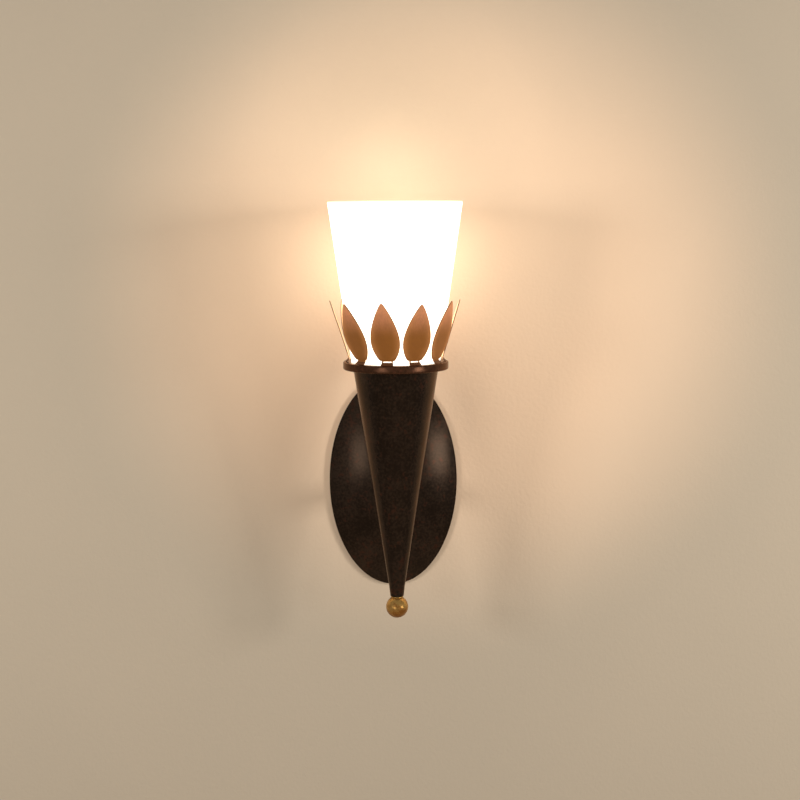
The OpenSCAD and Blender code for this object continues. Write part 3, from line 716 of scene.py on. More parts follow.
# %% [markdown]
# ## The torch and its ring
# The cone is rolled from sheet and seamed, so its long sides are straight, and
# its end is closed by a small floor that the centre rod goes through. At its top
# it spreads in a small cove to meet the ring that is brazed on. The ring is a
# flat bar rolled into a hoop, with its edges dressed round. Both are round, so
# both are turned.

# %% Torch cone
cone_low, cone_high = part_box("torch_cone")
TORCH_Y = (ring_low.y + ring_high.y) / 2
TORCH = (0.0, TORCH_Y)
CONE_R = radius_of("torch_cone")
CONE_TIP_R = 7.6 * MM
CONE_END_R = 6.5 * MM
NECK_H = 10 * MM
CONE_SHEET = 1.2 * MM
CONE_FLOOR = 3 * MM
ROD_HOLE_R = 4.15 * MM
WIRE_HOLE_R = 5 * MM
COVE_R = 2.2 * MM
COVE_LIP = 0.5 * MM
neck_z = cone_low.z + NECK_H


def make_cone():
    top, end = cone_high.z, cone_low.z
    cone_slope = (CONE_R - CONE_TIP_R) / (top - neck_z)
    section = rounded([
        (CONE_R, top),
        (CONE_R + COVE_R, top, 0.2 * MM),
        (CONE_R + COVE_R, top - COVE_LIP, 0.2 * MM),
        (CONE_R - cone_slope * COVE_R / 2, top - COVE_R / 2, COVE_R / 2),
        (CONE_TIP_R, neck_z, 6 * MM),
        (CONE_END_R, end, 0.8 * MM),
        (ROD_HOLE_R, end),
        (ROD_HOLE_R, end + CONE_FLOOR),
        (CONE_END_R - CONE_SHEET, end + CONE_FLOOR),
        (CONE_TIP_R - CONE_SHEET, neck_z),
        (CONE_R - CONE_SHEET, top),
    ])
    cone = stand_in("torch_body", turned(section, 192, TORCH), "torch_cone")
    carve(cone, [rod_along_y(WIRE_HOLE_R, TORCH_Y, 0)])
    return cone


cone = make_cone()
print("torch axis", round(-TORCH_Y / MM, 1), "mm off the wall,", len(cone.data.polygons), "faces")

# %% Crown ring
RING_R = radius_of("crown_ring")
RING_EDGE_R = 1.4 * MM
RING_BORE_R = 42.5 * MM
LEDGE_R = 37 * MM
LEDGE_T = 2 * MM


def make_ring():
    low, high = ring_low.z, ring_high.z
    section = rounded([
        (RING_R, high, RING_EDGE_R),
        (RING_R, low, RING_EDGE_R),
        (LEDGE_R, low, 0.3 * MM),
        (LEDGE_R, low + LEDGE_T, 0.3 * MM),
        (RING_BORE_R, low + LEDGE_T),
        (RING_BORE_R, high, 0.7 * MM),
    ])
    stand_in("forged_ring", turned(section, 192, TORCH), "crown_ring", ring_bronze_lit)


make_ring()
print("ring", round(2 * RING_R / MM, 1), "mm across")

# %% [markdown]
# ## The back plate
# The plate is an oval spun dome with a short rim that tucks in a little at the
# wall, a flat land in the middle for the arm and two small bosses for the nuts.
# It is turned as a round dish and then stretched to an oval, as its outline is an
# ellipse.

# %% Back plate
plate_low, plate_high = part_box("back_plate")
PLATE_R = radius_of("back_plate")
PLATE_STRETCH = (plate_high.z - plate_low.z) / (plate_high.x - plate_low.x)
PLATE_RIM = 3.5 * MM
PLATE_RISE = 17 * MM
RIM_TUCK = 0.9 * MM
PLATE_SHEET = 1.2 * MM
LAND_DROP = 1 * MM
BOSS_R = 7 * MM
BOSS_IN_R = 5.8 * MM
STUD_Z = 58 * MM
STUD_HEIGHTS = (-STUD_Z, STUD_Z)
STUD_HOLE_R = 2.2 * MM
NIPPLE_HOLE_R = 5.3 * MM
DOME_STEPS = 40
DOME_BALL_R = (PLATE_R ** 2 + PLATE_RISE ** 2) / (2 * PLATE_RISE)
DOME_BALL_H = PLATE_RIM + PLATE_RISE - DOME_BALL_R
BOSS_FACE = DOME_BALL_H + math.sqrt(DOME_BALL_R ** 2 - ((STUD_Z - BOSS_R) / PLATE_STRETCH) ** 2)


def dome_arc(inset):
    """The dome's outside from the land to the rim, shrunk by inset, as (radius, height)."""
    ball_r = DOME_BALL_R - inset
    land = PLATE_RIM + PLATE_RISE - LAND_DROP - inset
    start = math.acos((land - DOME_BALL_H) / ball_r)
    end = math.asin((PLATE_R - inset) / ball_r)
    angles = [start + (end - start) * step / DOME_STEPS for step in range(DOME_STEPS + 1)]
    return [(ball_r * math.sin(angle), DOME_BALL_H + ball_r * math.cos(angle)) for angle in angles]


# %% Dome, bosses and holes
def make_plate():
    outside, inside = dome_arc(0), dome_arc(PLATE_SHEET)
    corners = [(0, outside[0][1]), *outside[:-1]]
    corners += [(*outside[-1], 1.1 * MM), (PLATE_R - RIM_TUCK, 0, 0.4 * MM)]
    corners += [(PLATE_R - RIM_TUCK - PLATE_SHEET, 0, 0.4 * MM)]
    corners += [*reversed(inside), (0, inside[0][1])]
    build = facing_room(turned(rounded(corners), 240))
    bmesh.ops.transform(build, matrix=Matrix.Diagonal((1, 1, PLATE_STRETCH, 1)), verts=build.verts)
    plate = stand_in("oval_plate", build, "back_plate")
    for height in STUD_HEIGHTS:
        carve(plate, [rod_along_y(BOSS_R, -BOSS_FACE, -PLATE_RIM, height)], "UNION")
        carve(plate, [
            rod_along_y(BOSS_IN_R, PLATE_SHEET - BOSS_FACE, MM, height),
            rod_along_y(STUD_HOLE_R, -2 * BOSS_FACE, MM, height),
        ])
    carve(plate, [rod_along_y(NIPPLE_HOLE_R, -2 * BOSS_FACE, MM)])


make_plate()
print("plate", round(2 * PLATE_R / MM), "mm wide, boss face at", round(BOSS_FACE / MM, 1), "mm")

# %% [markdown]
# ## The ball and its washer
# The ball is a turned and polished brass sphere with a small flat where it
# meets its washer, and it is threaded on the end of the centre rod.

# %% Ball and washer
BALL_R = radius_of("ball_finial")
ROD_CLEAR_R = 4.06 * MM
BALL_BORE = 12 * MM
BALL_STEPS = 48
WASHER_ROUND = 0.35 * MM


def make_ball():
    middle = ball_low.z + BALL_R
    flat_angle = math.acos((ball_high.z - middle) / BALL_R)
    section = [(0, ball_low.z)]
    for step in range(1, BALL_STEPS):
        angle = math.pi - (math.pi - flat_angle) * step / BALL_STEPS
        section.append((BALL_R * math.sin(angle), middle + BALL_R * math.cos(angle)))
    bore_end = ball_high.z - BALL_BORE
    section += rounded([
        section[-1], (BALL_R * math.sin(flat_angle), ball_high.z, 0.3 * MM),
        (ROD_CLEAR_R, ball_high.z, 0.3 * MM), (ROD_CLEAR_R, bore_end), (0, bore_end),
    ], closed=False)[1:]
    stand_in("gold_ball", turned(section, 128, TORCH), "ball_finial")


def make_washer():
    low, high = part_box("finial_washer")
    outer_r = radius_of("finial_washer")
    corners = [(outer_r, high.z), (outer_r, low.z), (ROD_CLEAR_R, low.z), (ROD_CLEAR_R, high.z)]
    section = rounded([(*corner, WASHER_ROUND) for corner in corners])
    stand_in("gold_washer", turned(section, centre=TORCH), "finial_washer")


make_ball()
make_washer()
print("ball", round(2 * BALL_R / MM, 1), "mm")

# %% [markdown]
# ## The leaves
# Each leaf is cut from 1 mm sheet, folded up from a small foot and pierced at
# the fold. A flat outline alone would look like card, so the leaf is lofted: a
# row of cross-sections with round edges runs along a line that bends at the
# fold, and the blade is very slightly cupped, as sheet is after filing. Each
# was bent by hand, so each has its own turn, tilt and lean.

# %% The leaf's line and width
LEAF_STEP = 36
CROWN_TURN = -15.7
LEAF_SET = [
    # turn about the torch, tilt in the leaf's plane and added lean, in degrees; slit height in mm
    (3.6, 2.4, -1.3, 1.0), (0.3, 0.8, 1.5, 1.0), (-0.9, -2.5, -2.5, 0.1), (-4.8, -1, -2, 0.5),
    (-0.3, 0, 0, 0.9), (1.7, 1, -0.5, 1.1), (0.2, -1, 0.5, 0.7), (-2.8, 0, 0, 0.5),
    (-1.8, 2, -0.7, 0.4), (4.1, 1.6, 1.9, 0.1),
]
LEAF_LEAN = 19
LEAF_L = 57.5 * MM
LEAF_W = 27.3 * MM
LEAF_SHEET = 1 * MM
FOLD_R = 43.9 * MM
FOLD_BEND = 1.6 * MM
NECK_W = 10.4 * MM
FOOT_W = 12 * MM
FOOT_OUT = 3.4 * MM
SLIT_W = 7.6 * MM
WIDEST = 0.36
TIP_ROUND = 1.5 * MM
TIP_TURN = math.radians(35)
FOOT_STEPS = 4
BEND_STEPS = 6
LOWER_STEPS = 16
UPPER_STEPS = 24
TIP_STEPS = 6


def bezier(a, b, c, d, t):
    s = 1 - t
    return s ** 3 * a + 3 * s ** 2 * t * b + 3 * s * t ** 2 * c + t ** 3 * d


def tip_point(turn):
    return Vector((0, LEAF_L - TIP_ROUND)) + TIP_ROUND * Vector((math.cos(turn), math.sin(turn)))


def blade_edge():
    """Points (half width, distance from the fold) from the neck to the tip."""
    neck = Vector((NECK_W / 2, 0))
    wide = Vector((LEAF_W / 2, WIDEST * LEAF_L))
    flank = tip_point(TIP_TURN)
    aim = flank + 7.9 * MM * Vector((math.sin(TIP_TURN), -math.cos(TIP_TURN)))
    lower = (neck, neck + Vector((2.8, 1.3)) * MM, wide - Vector((0, 10.4)) * MM, wide)
    upper = (wide, wide + Vector((0, 12.6)) * MM, aim, flank)
    rows = [bezier(*lower, step / LOWER_STEPS) for step in range(LOWER_STEPS)]
    rows += [bezier(*upper, step / UPPER_STEPS) for step in range(UPPER_STEPS)]
    rounding = math.pi / 2 - TIP_TURN
    rows += [tip_point(TIP_TURN + rounding * step / TIP_STEPS) for step in range(TIP_STEPS + 1)]
    return rows


# %% The line that the sheet follows
def fold_line(lean):
    """Stations along the sheet from the foot to the tip: (place, heading, half width, distance)."""
    up = Vector((math.sin(lean), math.cos(lean)))
    foot = Vector((FOOT_OUT, -FOLD_H))
    fold = Vector((FOLD_R, ring_high.z + FOLD_H))
    half = foot.angle(up) / 2
    reach = FOLD_BEND / math.tan(half)
    stations = []
    for step in range(FOOT_STEPS):
        share = 1 - step / FOOT_STEPS * (1 - reach / foot.length)
        width = NECK_W + (FOOT_W - NECK_W) * share
        stations.append((fold + foot * share, -foot.normalized(), width / 2, 0))
    middle = fold + (foot.normalized() + up).normalized() * (FOLD_BEND / math.sin(half))
    start = fold + foot.normalized() * reach - middle
    sweep = start.angle_signed(fold + up * reach - middle)
    for step in range(BEND_STEPS + 1):
        turn = Matrix.Rotation(-sweep * step / BEND_STEPS, 2)
        stations.append((middle + turn @ start, turn @ -foot.normalized(), NECK_W / 2, 0))
    for half_width, along in blade_edge():
        if along > reach * 1.2:
            stations.append((fold + up * along, up, half_width, along))
    return stations


# %% Loft one leaf
EDGE_STEPS = 4
FACE_STEPS = 14
TIP_THINNING = 0.8 * MM
CUP_START = 8 * MM
LEAF_CUP = 0.35 * MM
RIPPLE = 0.18 * MM
RIPPLES_ACROSS = 60
RIPPLES_ALONG = 45
RIM_W = 8.5 * MM


def leaf_section(half_width, half_sheet):
    """A closed loop (across, through) with round edges and closer points near them."""
    edge = min(half_sheet, half_width)
    flat = half_width - edge
    loop = []
    for side in (1, -1):
        for step in range(FACE_STEPS):
            loop.append((-side * flat * math.cos(math.pi * step / FACE_STEPS), side * half_sheet))
        for step in range(EDGE_STEPS + 1):
            angle = math.pi / 2 - math.pi * step / EDGE_STEPS
            loop.append((side * (flat + edge * math.cos(angle)), side * half_sheet * math.sin(angle)))
    return loop


def leaf_shape(spin, tilt, lean, seed):
    """A bmesh of one leaf; seed makes each ripple a little its own."""
    build = bmesh.new()
    rim = build.verts.layers.float.new("rim")
    inside = build.verts.layers.float.new("inside")
    loops = []
    stations = fold_line(lean)
    end = stations[-1][0]
    for place, heading, half_width, along in stations:
        through = Vector((heading.y, -heading.x))
        half_sheet = LEAF_SHEET / 2 * min(1, math.sqrt((end - place).length / TIP_THINNING + 0.08))
        blade = min(1, along / CUP_START)
        loop = []
        for across, depth in leaf_section(max(half_width, 0.1 * MM), half_sheet):
            cup = LEAF_CUP * blade * ((across / (LEAF_W / 2)) ** 2 - 0.3)
            wave = Vector((across * RIPPLES_ACROSS, place.y * RIPPLES_ALONG, seed * 7.3))
            ripple = RIPPLE * blade * noise.noise(wave)
            spot = place + through * (depth - cup + ripple)
            vertex = build.verts.new((spot.x, across - math.tan(tilt) * along, spot.y))
            vertex[rim] = min(blade, max(0, 1 - (half_width - abs(across)) / RIM_W))
            vertex[rim] += math.sqrt(max(0, 1 - (depth / half_sheet) ** 2))
            vertex[inside] = max(0, -depth / half_sheet)
            loop.append(vertex)
        loops.append(loop)
    for lower, upper in zip(loops, loops[1:]):
        for k in range(len(lower)):
            following = (k + 1) % len(lower)
            build.faces.new([lower[k], lower[following], upper[following], upper[k]])
    build.faces.new(loops[0])
    build.faces.new(list(reversed(loops[-1])))
    bmesh.ops.remove_doubles(build, verts=build.verts, dist=1e-6)
    bmesh.ops.transform(build, matrix=spin, verts=build.verts)
    return build


# %% The crown of leaves
def slit_tool(spin, height):
    """A block that cuts a leaf's slit at its fold."""
    build = bmesh.new()
    shape = Matrix.Diagonal((4 * LEAF_SHEET, SLIT_W, height, 1))
    spot = Matrix.Translation((FOLD_R, 0, ring_high.z + FOLD_H))
    bmesh.ops.create_cube(build, size=1, matrix=spin @ spot @ shape)
    return build


for index, (turn, tilt, lean, slit) in enumerate(LEAF_SET):
    azimuth = math.radians(CROWN_TURN + LEAF_STEP * index + turn - 90)
    spin = Matrix.Translation((0, TORCH_Y, 0)) @ Matrix.Rotation(azimuth, 4, "Z")
    build = leaf_shape(spin, math.radians(tilt), math.radians(LEAF_LEAN + lean), index)
    leaf = stand_in(f"crown_leaf_{index + 1:02d}", build, f"leaf_{index + 1:02d}")
    carve(leaf, [slit_tool(spin, slit * MM)])
print(len(LEAF_SET), "leaves of", round(LEAF_L / MM, 1), "mm")

# %% [markdown]
# ## The glass shade
# The shade is pressed opal glass with straight tapering sides and a ground rim
# with softened edges. It stands on a gasket inside the ring. Four rounded
# corners are its whole section.

# %% Glass shade
SHADE_TOP_R = radius_of("glass_shade")
SHADE_FOOT_R = 41.6 * MM
SHADE_WALL = 3.2 * MM

stand_in("opal_shade", turned(rounded([
    (SHADE_TOP_R, shade_high.z, 0.5 * MM),
    (SHADE_FOOT_R, shade_low.z, 0.9 * MM),
    (SHADE_FOOT_R - SHADE_WALL, shade_low.z, 0.9 * MM),
    (SHADE_TOP_R - SHADE_WALL, shade_high.z, 0.5 * MM),
]), 192, TORCH), "glass_shade")
print("glass", round(2 * SHADE_TOP_R / MM, 1), "mm across its rim")

# %% [markdown]
# ## Threads and nuts
# A thread is a helix, and a hexagon is a circle with six flats. Both are small
# changes to a turned shape, so each is a function that moves a turned point: a
# thread pulls it in by a wave that climbs with the angle, and a hexagon puts it
# on the flat and lowers its corner by the nut's chamfer.

# %% Thread and hexagon
THREAD_ROWS = 6
THREADED_SHARE = 0.9
FIT_GAP = 0.06 * MM
CHAMFER_START = 0.94
CHAMFER_SLOPE = math.tan(math.radians(25))


def thread(full_r, pitch, depth, spans, rolled=False):
    """A right-hand thread over the spans (low, high) of height, in what is nearly full_r wide."""
    def shape(radius, height, angle):
        for low, high in spans:
            if radius > THREADED_SHARE * full_r and low < height < high:
                run_in = min(1, (height - low) / pitch, (high - height) / pitch)
                wave = abs(2 * ((height / pitch - angle / math.tau) % 1) - 1)
                if rolled:
                    wave = 0.5 - 0.5 * math.cos(math.pi * wave)
                return radius - depth * run_in * wave, height
        return radius, height
    return shape


def thread_rows(radius, low, high, pitch):
    count = math.ceil((high - low) / pitch * THREAD_ROWS)
    return [(radius, low + (high - low) * step / count) for step in range(count + 1)]


def hexagon(corner_r, low, high):
    flat_r = corner_r * math.cos(math.pi / 6)

    def shape(radius, height, angle):
        if radius < corner_r:
            return radius, height
        side_r = flat_r / math.cos((angle + math.pi / 6) % (math.pi / 3) - math.pi / 6)
        drop = (side_r - CHAMFER_START * flat_r) * CHAMFER_SLOPE
        return side_r, (low + drop if height == low else high - drop)
    return shape


def nut(corner_r, bore_r, low, high, centre=(0, 0), dome=()):
    """A chamfered hexagon nut; a dome is more points of its section, from the top inwards."""
    chamfer_r = CHAMFER_START * corner_r * math.cos(math.pi / 6)
    section = [(bore_r, low), (chamfer_r, low), (corner_r, low), (corner_r, high), (chamfer_r, high)]
    section += dome or [(bore_r, high)]
    return turned(section, 96, centre, hexagon(corner_r, low, high))


# %% Centre rod
rod_low, rod_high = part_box("centre_rod")
ROD_R = radius_of("centre_rod")
ROD_PITCH = 1.25 * MM
ROD_DEPTH = 0.6 * MM
ROD_THREAD_TOP = 18 * MM
ROD_THREAD_END = 16 * MM


def make_rod():
    spans = [(rod_low.z, rod_low.z + ROD_THREAD_END), (rod_high.z - ROD_THREAD_TOP, rod_high.z)]
    section = [(0, rod_low.z)]
    for low, high in spans:
        section += thread_rows(ROD_R, low, high, ROD_PITCH)
    section.append((0, rod_high.z))
    shape = thread(ROD_R, ROD_PITCH, ROD_DEPTH, spans)
    stand_in("threaded_rod", turned(section, 48, TORCH, shape), "centre_rod")


make_rod()
print("rod", round((rod_high.z - rod_low.z) / MM, 1), "mm long")

# %% Studs and nipple
stud_low, stud_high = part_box("strap_studs")
nipple_low, nipple_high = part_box("arm_nipple")
STUD_R = radius_of("strap_studs")
STUD_PITCH = 0.7 * MM
STUD_DEPTH = 0.36 * MM
NIPPLE_R = radius_of("arm_nipple")
NIPPLE_BORE_R = 3.6 * MM
NIPPLE_PITCH = 1 * MM
NIPPLE_DEPTH = 0.5 * MM


def make_studs():
    span = (-stud_high.y, -stud_low.y)
    section = [(0, span[0]), *thread_rows(STUD_R, *span, STUD_PITCH), (0, span[1])]
    shape = thread(STUD_R, STUD_PITCH, STUD_DEPTH, [span])
    studs = [facing_room(turned(section, 32, shape=shape), z=height) for height in STUD_HEIGHTS]
    stand_in("threaded_studs", merged(studs), "strap_studs")


def make_nipple():
    span = (-nipple_high.y, -nipple_low.y)
    bore = [(NIPPLE_BORE_R, height) for height in reversed(span)]
    section = thread_rows(NIPPLE_R, *span, NIPPLE_PITCH) + bore
    shape = thread(NIPPLE_R, NIPPLE_PITCH, NIPPLE_DEPTH, [span])
    stand_in("threaded_nipple", facing_room(turned(section, 48, shape=shape)), "arm_nipple")


make_studs()
make_nipple()
print("studs", round(2 * STUD_R / MM, 1), "mm and nipple", round(2 * NIPPLE_R / MM, 1), "mm thick")

# %% Nuts
CAP_NUT_T = 4 * MM
CAP_DOME_R = 4.6 * MM
CAP_BORE = 2.4 * MM
DOME_ARC = 10


def nut_measures(node):
    """Corner radius, and the two faces' distances from the wall, of a nut that faces the room."""
    low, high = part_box(node)
    return radius_of(node), -high.y, -low.y


def make_nuts():
    low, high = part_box("rod_nut")
    build = nut(radius_of("rod_nut"), ROD_CLEAR_R, low.z, high.z, TORCH)
    stand_in("chamfered_rod_nut", build, "rod_nut")
    corner_r, back, front = nut_measures("nipple_locknut")
    build = facing_room(nut(corner_r, NIPPLE_R + FIT_GAP, back, front))
    stand_in("chamfered_nipple_nut", build, "nipple_locknut")
    corner_r, back, front = nut_measures("stud_locknuts")
    bore_r = STUD_R + FIT_GAP
    builds = [facing_room(nut(corner_r, bore_r, back, front), z=height) for height in STUD_HEIGHTS]
    stand_in("chamfered_stud_nuts", merged(builds), "stud_locknuts")
    corner_r, back, front = nut_measures("cap_nuts")
    shoulder = back + CAP_NUT_T
    arc = [math.pi / 2 * step / DOME_ARC for step in range(DOME_ARC + 1)]
    dome = [(CAP_DOME_R * math.cos(angle), shoulder + CAP_DOME_R * math.sin(angle)) for angle in arc]
    bore_end = shoulder + CAP_BORE
    dome = dome[:-1] + [(0, shoulder + CAP_DOME_R), (0, bore_end), (bore_r, bore_end)]
    builds = [
        facing_room(nut(corner_r, bore_r, back, shoulder, dome=dome), z=height)
        for height in STUD_HEIGHTS
    ]
    stand_in("domed_cap_nuts", merged(builds), "cap_nuts", finishes["dark_bronze"])


make_nuts()
print("six nuts, chamfered from", CHAMFER_START, "of their flats")

# %% [markdown]
# ## The arm
# A collar turned in two steps sits on the plate's land, and a tube runs from it
# to the cone. The tube keeps its drawn shape, whose end is cut to the cone. A
# thin line of braze fills the joint there, and it is a tube swept along the
# curve where the two surfaces meet.

# %% Sweep a round section along a route
ROUTE_STEPS = 4


def smooth_route(points):
    """A curve through the points, with ROUTE_STEPS steps between two of them."""
    ends = [2 * points[0] - points[1], *points, 2 * points[-1] - points[-2]]
    route = []
    for before, start, end, after in zip(ends, ends[1:], ends[2:], ends[3:]):
        lead_out, lead_in = start + (end - before) / 6, end - (after - start) / 6
        route += [bezier(start, lead_out, lead_in, end, step / ROUTE_STEPS) for step in range(ROUTE_STEPS)]
    return route + [points[-1]]


def swept(route, radius, sides=12, loop=False):
    """A bmesh tube along the route: with flat ends, or closed on itself as a loop."""
    build = bmesh.new()
    count = len(route)
    side = (route[1] - route[0]).orthogonal()
    rings = []
    for i, spot in enumerate(route):
        before = route[i - 1] if loop or i else spot
        after = route[(i + 1) % count] if loop or i < count - 1 else spot
        ahead = (after - before).normalized()
        side = (side - ahead * side.dot(ahead)).normalized()
        up = ahead.cross(side)
        angles = [math.tau * k / sides for k in range(sides)]
        rings.append([
            build.verts.new(spot + radius * (side * math.cos(angle) + up * math.sin(angle)))
            for angle in angles
        ])
    for lower, upper in zip(rings, rings[1:] + (rings[:1] if loop else [])):
        for k in range(sides):
            following = (k + 1) % sides
            build.faces.new([lower[k], lower[following], upper[following], upper[k]])
    if not loop:
        build.faces.new(rings[0])
        build.faces.new(list(reversed(rings[-1])))
    return build


# %% Collar and braze
collar_low, collar_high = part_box("arm_collar")
COLLAR_R = radius_of("arm_collar")
COLLAR_STEP_R = 12 * MM
COLLAR_BASE_T = 2.5 * MM
TUBE_R = radius_of("arm_tube")
BRAZE_R = 0.9 * MM
BRAZE_STEPS = 96


def make_collar():
    back, front = -collar_high.y, -collar_low.y
    bore_r = NIPPLE_R + FIT_GAP
    section = rounded([
        (bore_r, back), (COLLAR_R, back, 0.3 * MM), (COLLAR_R, back + COLLAR_BASE_T, 0.8 * MM),
        (COLLAR_STEP_R, back + COLLAR_BASE_T, 0.5 * MM), (COLLAR_STEP_R, front, 1.1 * MM), (bore_r, front),
    ])
    stand_in("turned_collar", facing_room(turned(section)), "arm_collar")


def make_braze():
    slope = (CONE_R - CONE_TIP_R) / (cone_high.z - neck_z)
    route = []
    for step in range(BRAZE_STEPS):
        angle = math.tau * step / BRAZE_STEPS
        x, z = TUBE_R * math.cos(angle), TUBE_R * math.sin(angle)
        cone_r = CONE_TIP_R + (z - neck_z) * slope
        route.append(Vector((x, TORCH_Y + math.sqrt(cone_r ** 2 - x ** 2), z)))
    put("arm_braze", swept(route, BRAZE_R, loop=True), "root", "dark_bronze")


make_collar()
make_braze()
print("arm", round(2 * TUBE_R / MM), "mm thick")

# %% [markdown]
# ## The bulb
# A frosted household bulb: a pear of thin glass, a rolled aluminium screw cap,
# black glass round the contact, and inside a glass stem that carries a coiled
# wire. The rolled threads of cap and shell have one pitch, so they stay in
# step when the bulb is screwed out.

# %% The pear of glass
BULB_R = radius_of("bulb_glass")
BULB_WALL = 0.8 * MM
NECK_R = 12.7 * MM
SHOULDER = math.radians(38)
PEAR_STEPS = 16
CROWN_STEPS = 24


def pear(inset):
    """The bulb's outline from its neck to its top, shrunk by inset."""
    middle = bulb_high.z - BULB_R
    radius = BULB_R - inset
    neck = Vector((NECK_R - inset, bulb_low.z))
    shoulder = Vector((radius * math.cos(SHOULDER), middle - radius * math.sin(SHOULDER)))
    along = Vector((-math.sin(SHOULDER), -math.cos(SHOULDER)))
    lower = (neck, neck + Vector((0, 12)) * MM, shoulder + along * 14 * MM, shoulder)
    outline = [bezier(*lower, step / PEAR_STEPS) for step in range(PEAR_STEPS)]
    for step in range(CROWN_STEPS + 1):
        angle = (math.pi / 2 + SHOULDER) * step / CROWN_STEPS - SHOULDER
        outline.append(Vector((max(0, radius * math.cos(angle)), middle + radius * math.sin(angle))))
    outline[-1].x = 0
    return outline


bulb_section = pear(0) + list(reversed(pear(BULB_WALL)))
stand_in("pear_bulb", turned(bulb_section, 96, TORCH), "bulb_glass")
print("bulb", round(2 * BULB_R / MM), "mm across")

# %% Screw cap
CAP_PITCH = 3.63 * MM
CAP_ROLL = 1 * MM
CAP_SHEET = 0.4 * MM
CAP_R = radius_of("bulb_cap")


def make_cap():
    low, high = [corner.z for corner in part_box("bulb_cap")]
    span = (low + 1 * MM, high - 5 * MM)
    outside = [(CAP_R, low), *thread_rows(CAP_R, *span, CAP_PITCH), (CAP_R, high)]
    inside = [(radius - CAP_SHEET, height) for radius, height in reversed(outside)]
    shape = thread(CAP_R, CAP_PITCH, CAP_ROLL, [span], rolled=True)
    stand_in("rolled_cap", turned(outside + inside, 96, TORCH, shape), "bulb_cap")


make_cap()
print("screw cap", round(2 * CAP_R / MM, 1), "mm across,", round(CAP_PITCH / MM, 2), "mm a turn")

# %% Black glass and contact
BLACK_FOOT_R = 6 * MM
BLACK_TOP_R = 12.6 * MM
TIP_R = radius_of("bulb_tip")


def make_contact():
    low, high = [corner.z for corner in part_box("bulb_insulator")]
    stand_in("contact_glass", turned(rounded([
        (0, low), (BLACK_FOOT_R, low, 0.5 * MM), (BLACK_TOP_R, high, 0.4 * MM), (0, high),
    ]), 64, TORCH), "bulb_insulator")
    low, high = [corner.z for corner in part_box("bulb_tip")]
    stand_in("solder_tip", turned(rounded([
        (0, low), (TIP_R * 0.8, low, 1.5 * MM), (TIP_R, high), (0, high),
    ]), 48, TORCH), "bulb_tip")


make_contact()
print("contact", round(2 * TIP_R / MM, 1), "mm across")

# %% Stem and coil
stem_low, stem_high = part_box("bulb_stem")
FILAMENT_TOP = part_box("bulb_filament")[1].z
COIL_HALF = 9 * MM
COIL_DROP = 0.8 * MM
COIL_R = 0.62 * MM
COIL_WIRE_R = 0.14 * MM
COIL_TURNS = 32
STEPS_A_TURN = 12
COIL_SAG = 1.2 * MM
SUPPORT_R = 0.35 * MM
SUPPORT_FOOT_X = 1.6 * MM


def make_stem():
    low, high = stem_low.z, stem_high.z
    stand_in("flared_stem", turned(rounded([
        (0, low), (6 * MM, low, 0.6 * MM), (4.6 * MM, low + 5 * MM, 4 * MM),
        (2.9 * MM, high - 8 * MM, 9 * MM), (2.6 * MM, high, 0.9 * MM), (0, high),
    ]), 48, TORCH), "bulb_stem")


def make_coil():
    coil_z = FILAMENT_TOP - COIL_DROP
    builds = []
    for side in (-1, 1):
        foot = Vector((side * SUPPORT_FOOT_X, TORCH_Y, stem_high.z))
        hook = Vector((side * COIL_HALF, TORCH_Y, coil_z))
        knee = (foot + hook) / 2 - Vector((side * 0.8 * MM, 0, 0))
        builds.append(swept(smooth_route([foot, knee, hook]), SUPPORT_R, 8))
    route = []
    for step in range(COIL_TURNS * STEPS_A_TURN + 1):
        share = step / (COIL_TURNS * STEPS_A_TURN)
        x = COIL_HALF * (2 * share - 1)
        angle = math.tau * COIL_TURNS * share
        middle = coil_z - COIL_SAG * math.sin(math.pi * share)
        route.append(Vector((x, TORCH_Y + COIL_R * math.cos(angle), middle + COIL_R * math.sin(angle))))
    builds.append(swept(route, COIL_WIRE_R, 6))
    stand_in("coiled_wire", merged(builds), "bulb_filament")


make_stem()
make_coil()
print("a coil of", COIL_TURNS, "turns over", round(2 * COIL_HALF / MM), "mm")

# %% [markdown]
# ## The lampholder
# A glazed porcelain body with softened edges and two grooves for the fingers
# holds a brass screw shell. Both are turned. The shell's thread is rolled, and
# it is a little wider than the bulb's cap.

# %% Porcelain body
body_low, body_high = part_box("lampholder_body")
shell_low, shell_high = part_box("screw_shell")
HOLDER_R = radius_of("lampholder_body")
SHELL_R = radius_of("screw_shell")
CAVITY_R = 13 * MM
CAVITY_H = 8 * MM
GROOVE_HEIGHTS = (26 * MM, 31 * MM)
GROOVE_HALF = 1.2 * MM
GROOVE_DEPTH = 0.8 * MM


def make_holder():
    low, high = body_low.z, body_high.z
    corners = [(CAVITY_R, low, 0.3 * MM), (HOLDER_R, low, 0.8 * MM)]
    for height in GROOVE_HEIGHTS:
        corners += [
            (HOLDER_R, low + height - GROOVE_HALF, 0.4 * MM),
            (HOLDER_R - GROOVE_DEPTH, low + height, 0.6 * MM),
            (HOLDER_R, low + height + GROOVE_HALF, 0.4 * MM),
        ]
    shell_r = SHELL_R + FIT_GAP
    corners += [
        (HOLDER_R, high, 1.2 * MM), (shell_r, high, 0.5 * MM), (shell_r, shell_low.z), (0, shell_low.z),
        (0, low + CAVITY_H), (CAVITY_R, low + CAVITY_H),
    ]
    stand_in("porcelain_body", turned(rounded(corners), 128, TORCH), "lampholder_body")


make_holder()
print("lampholder", round((body_high.z - body_low.z) / MM), "mm high")

# %% Screw shell
SHELL_SHEET = 0.4 * MM
SHELL_ROLL = 0.55 * MM
SHELL_FLOOR = 0.8 * MM
SHELL_HOLE_R = 9.5 * MM


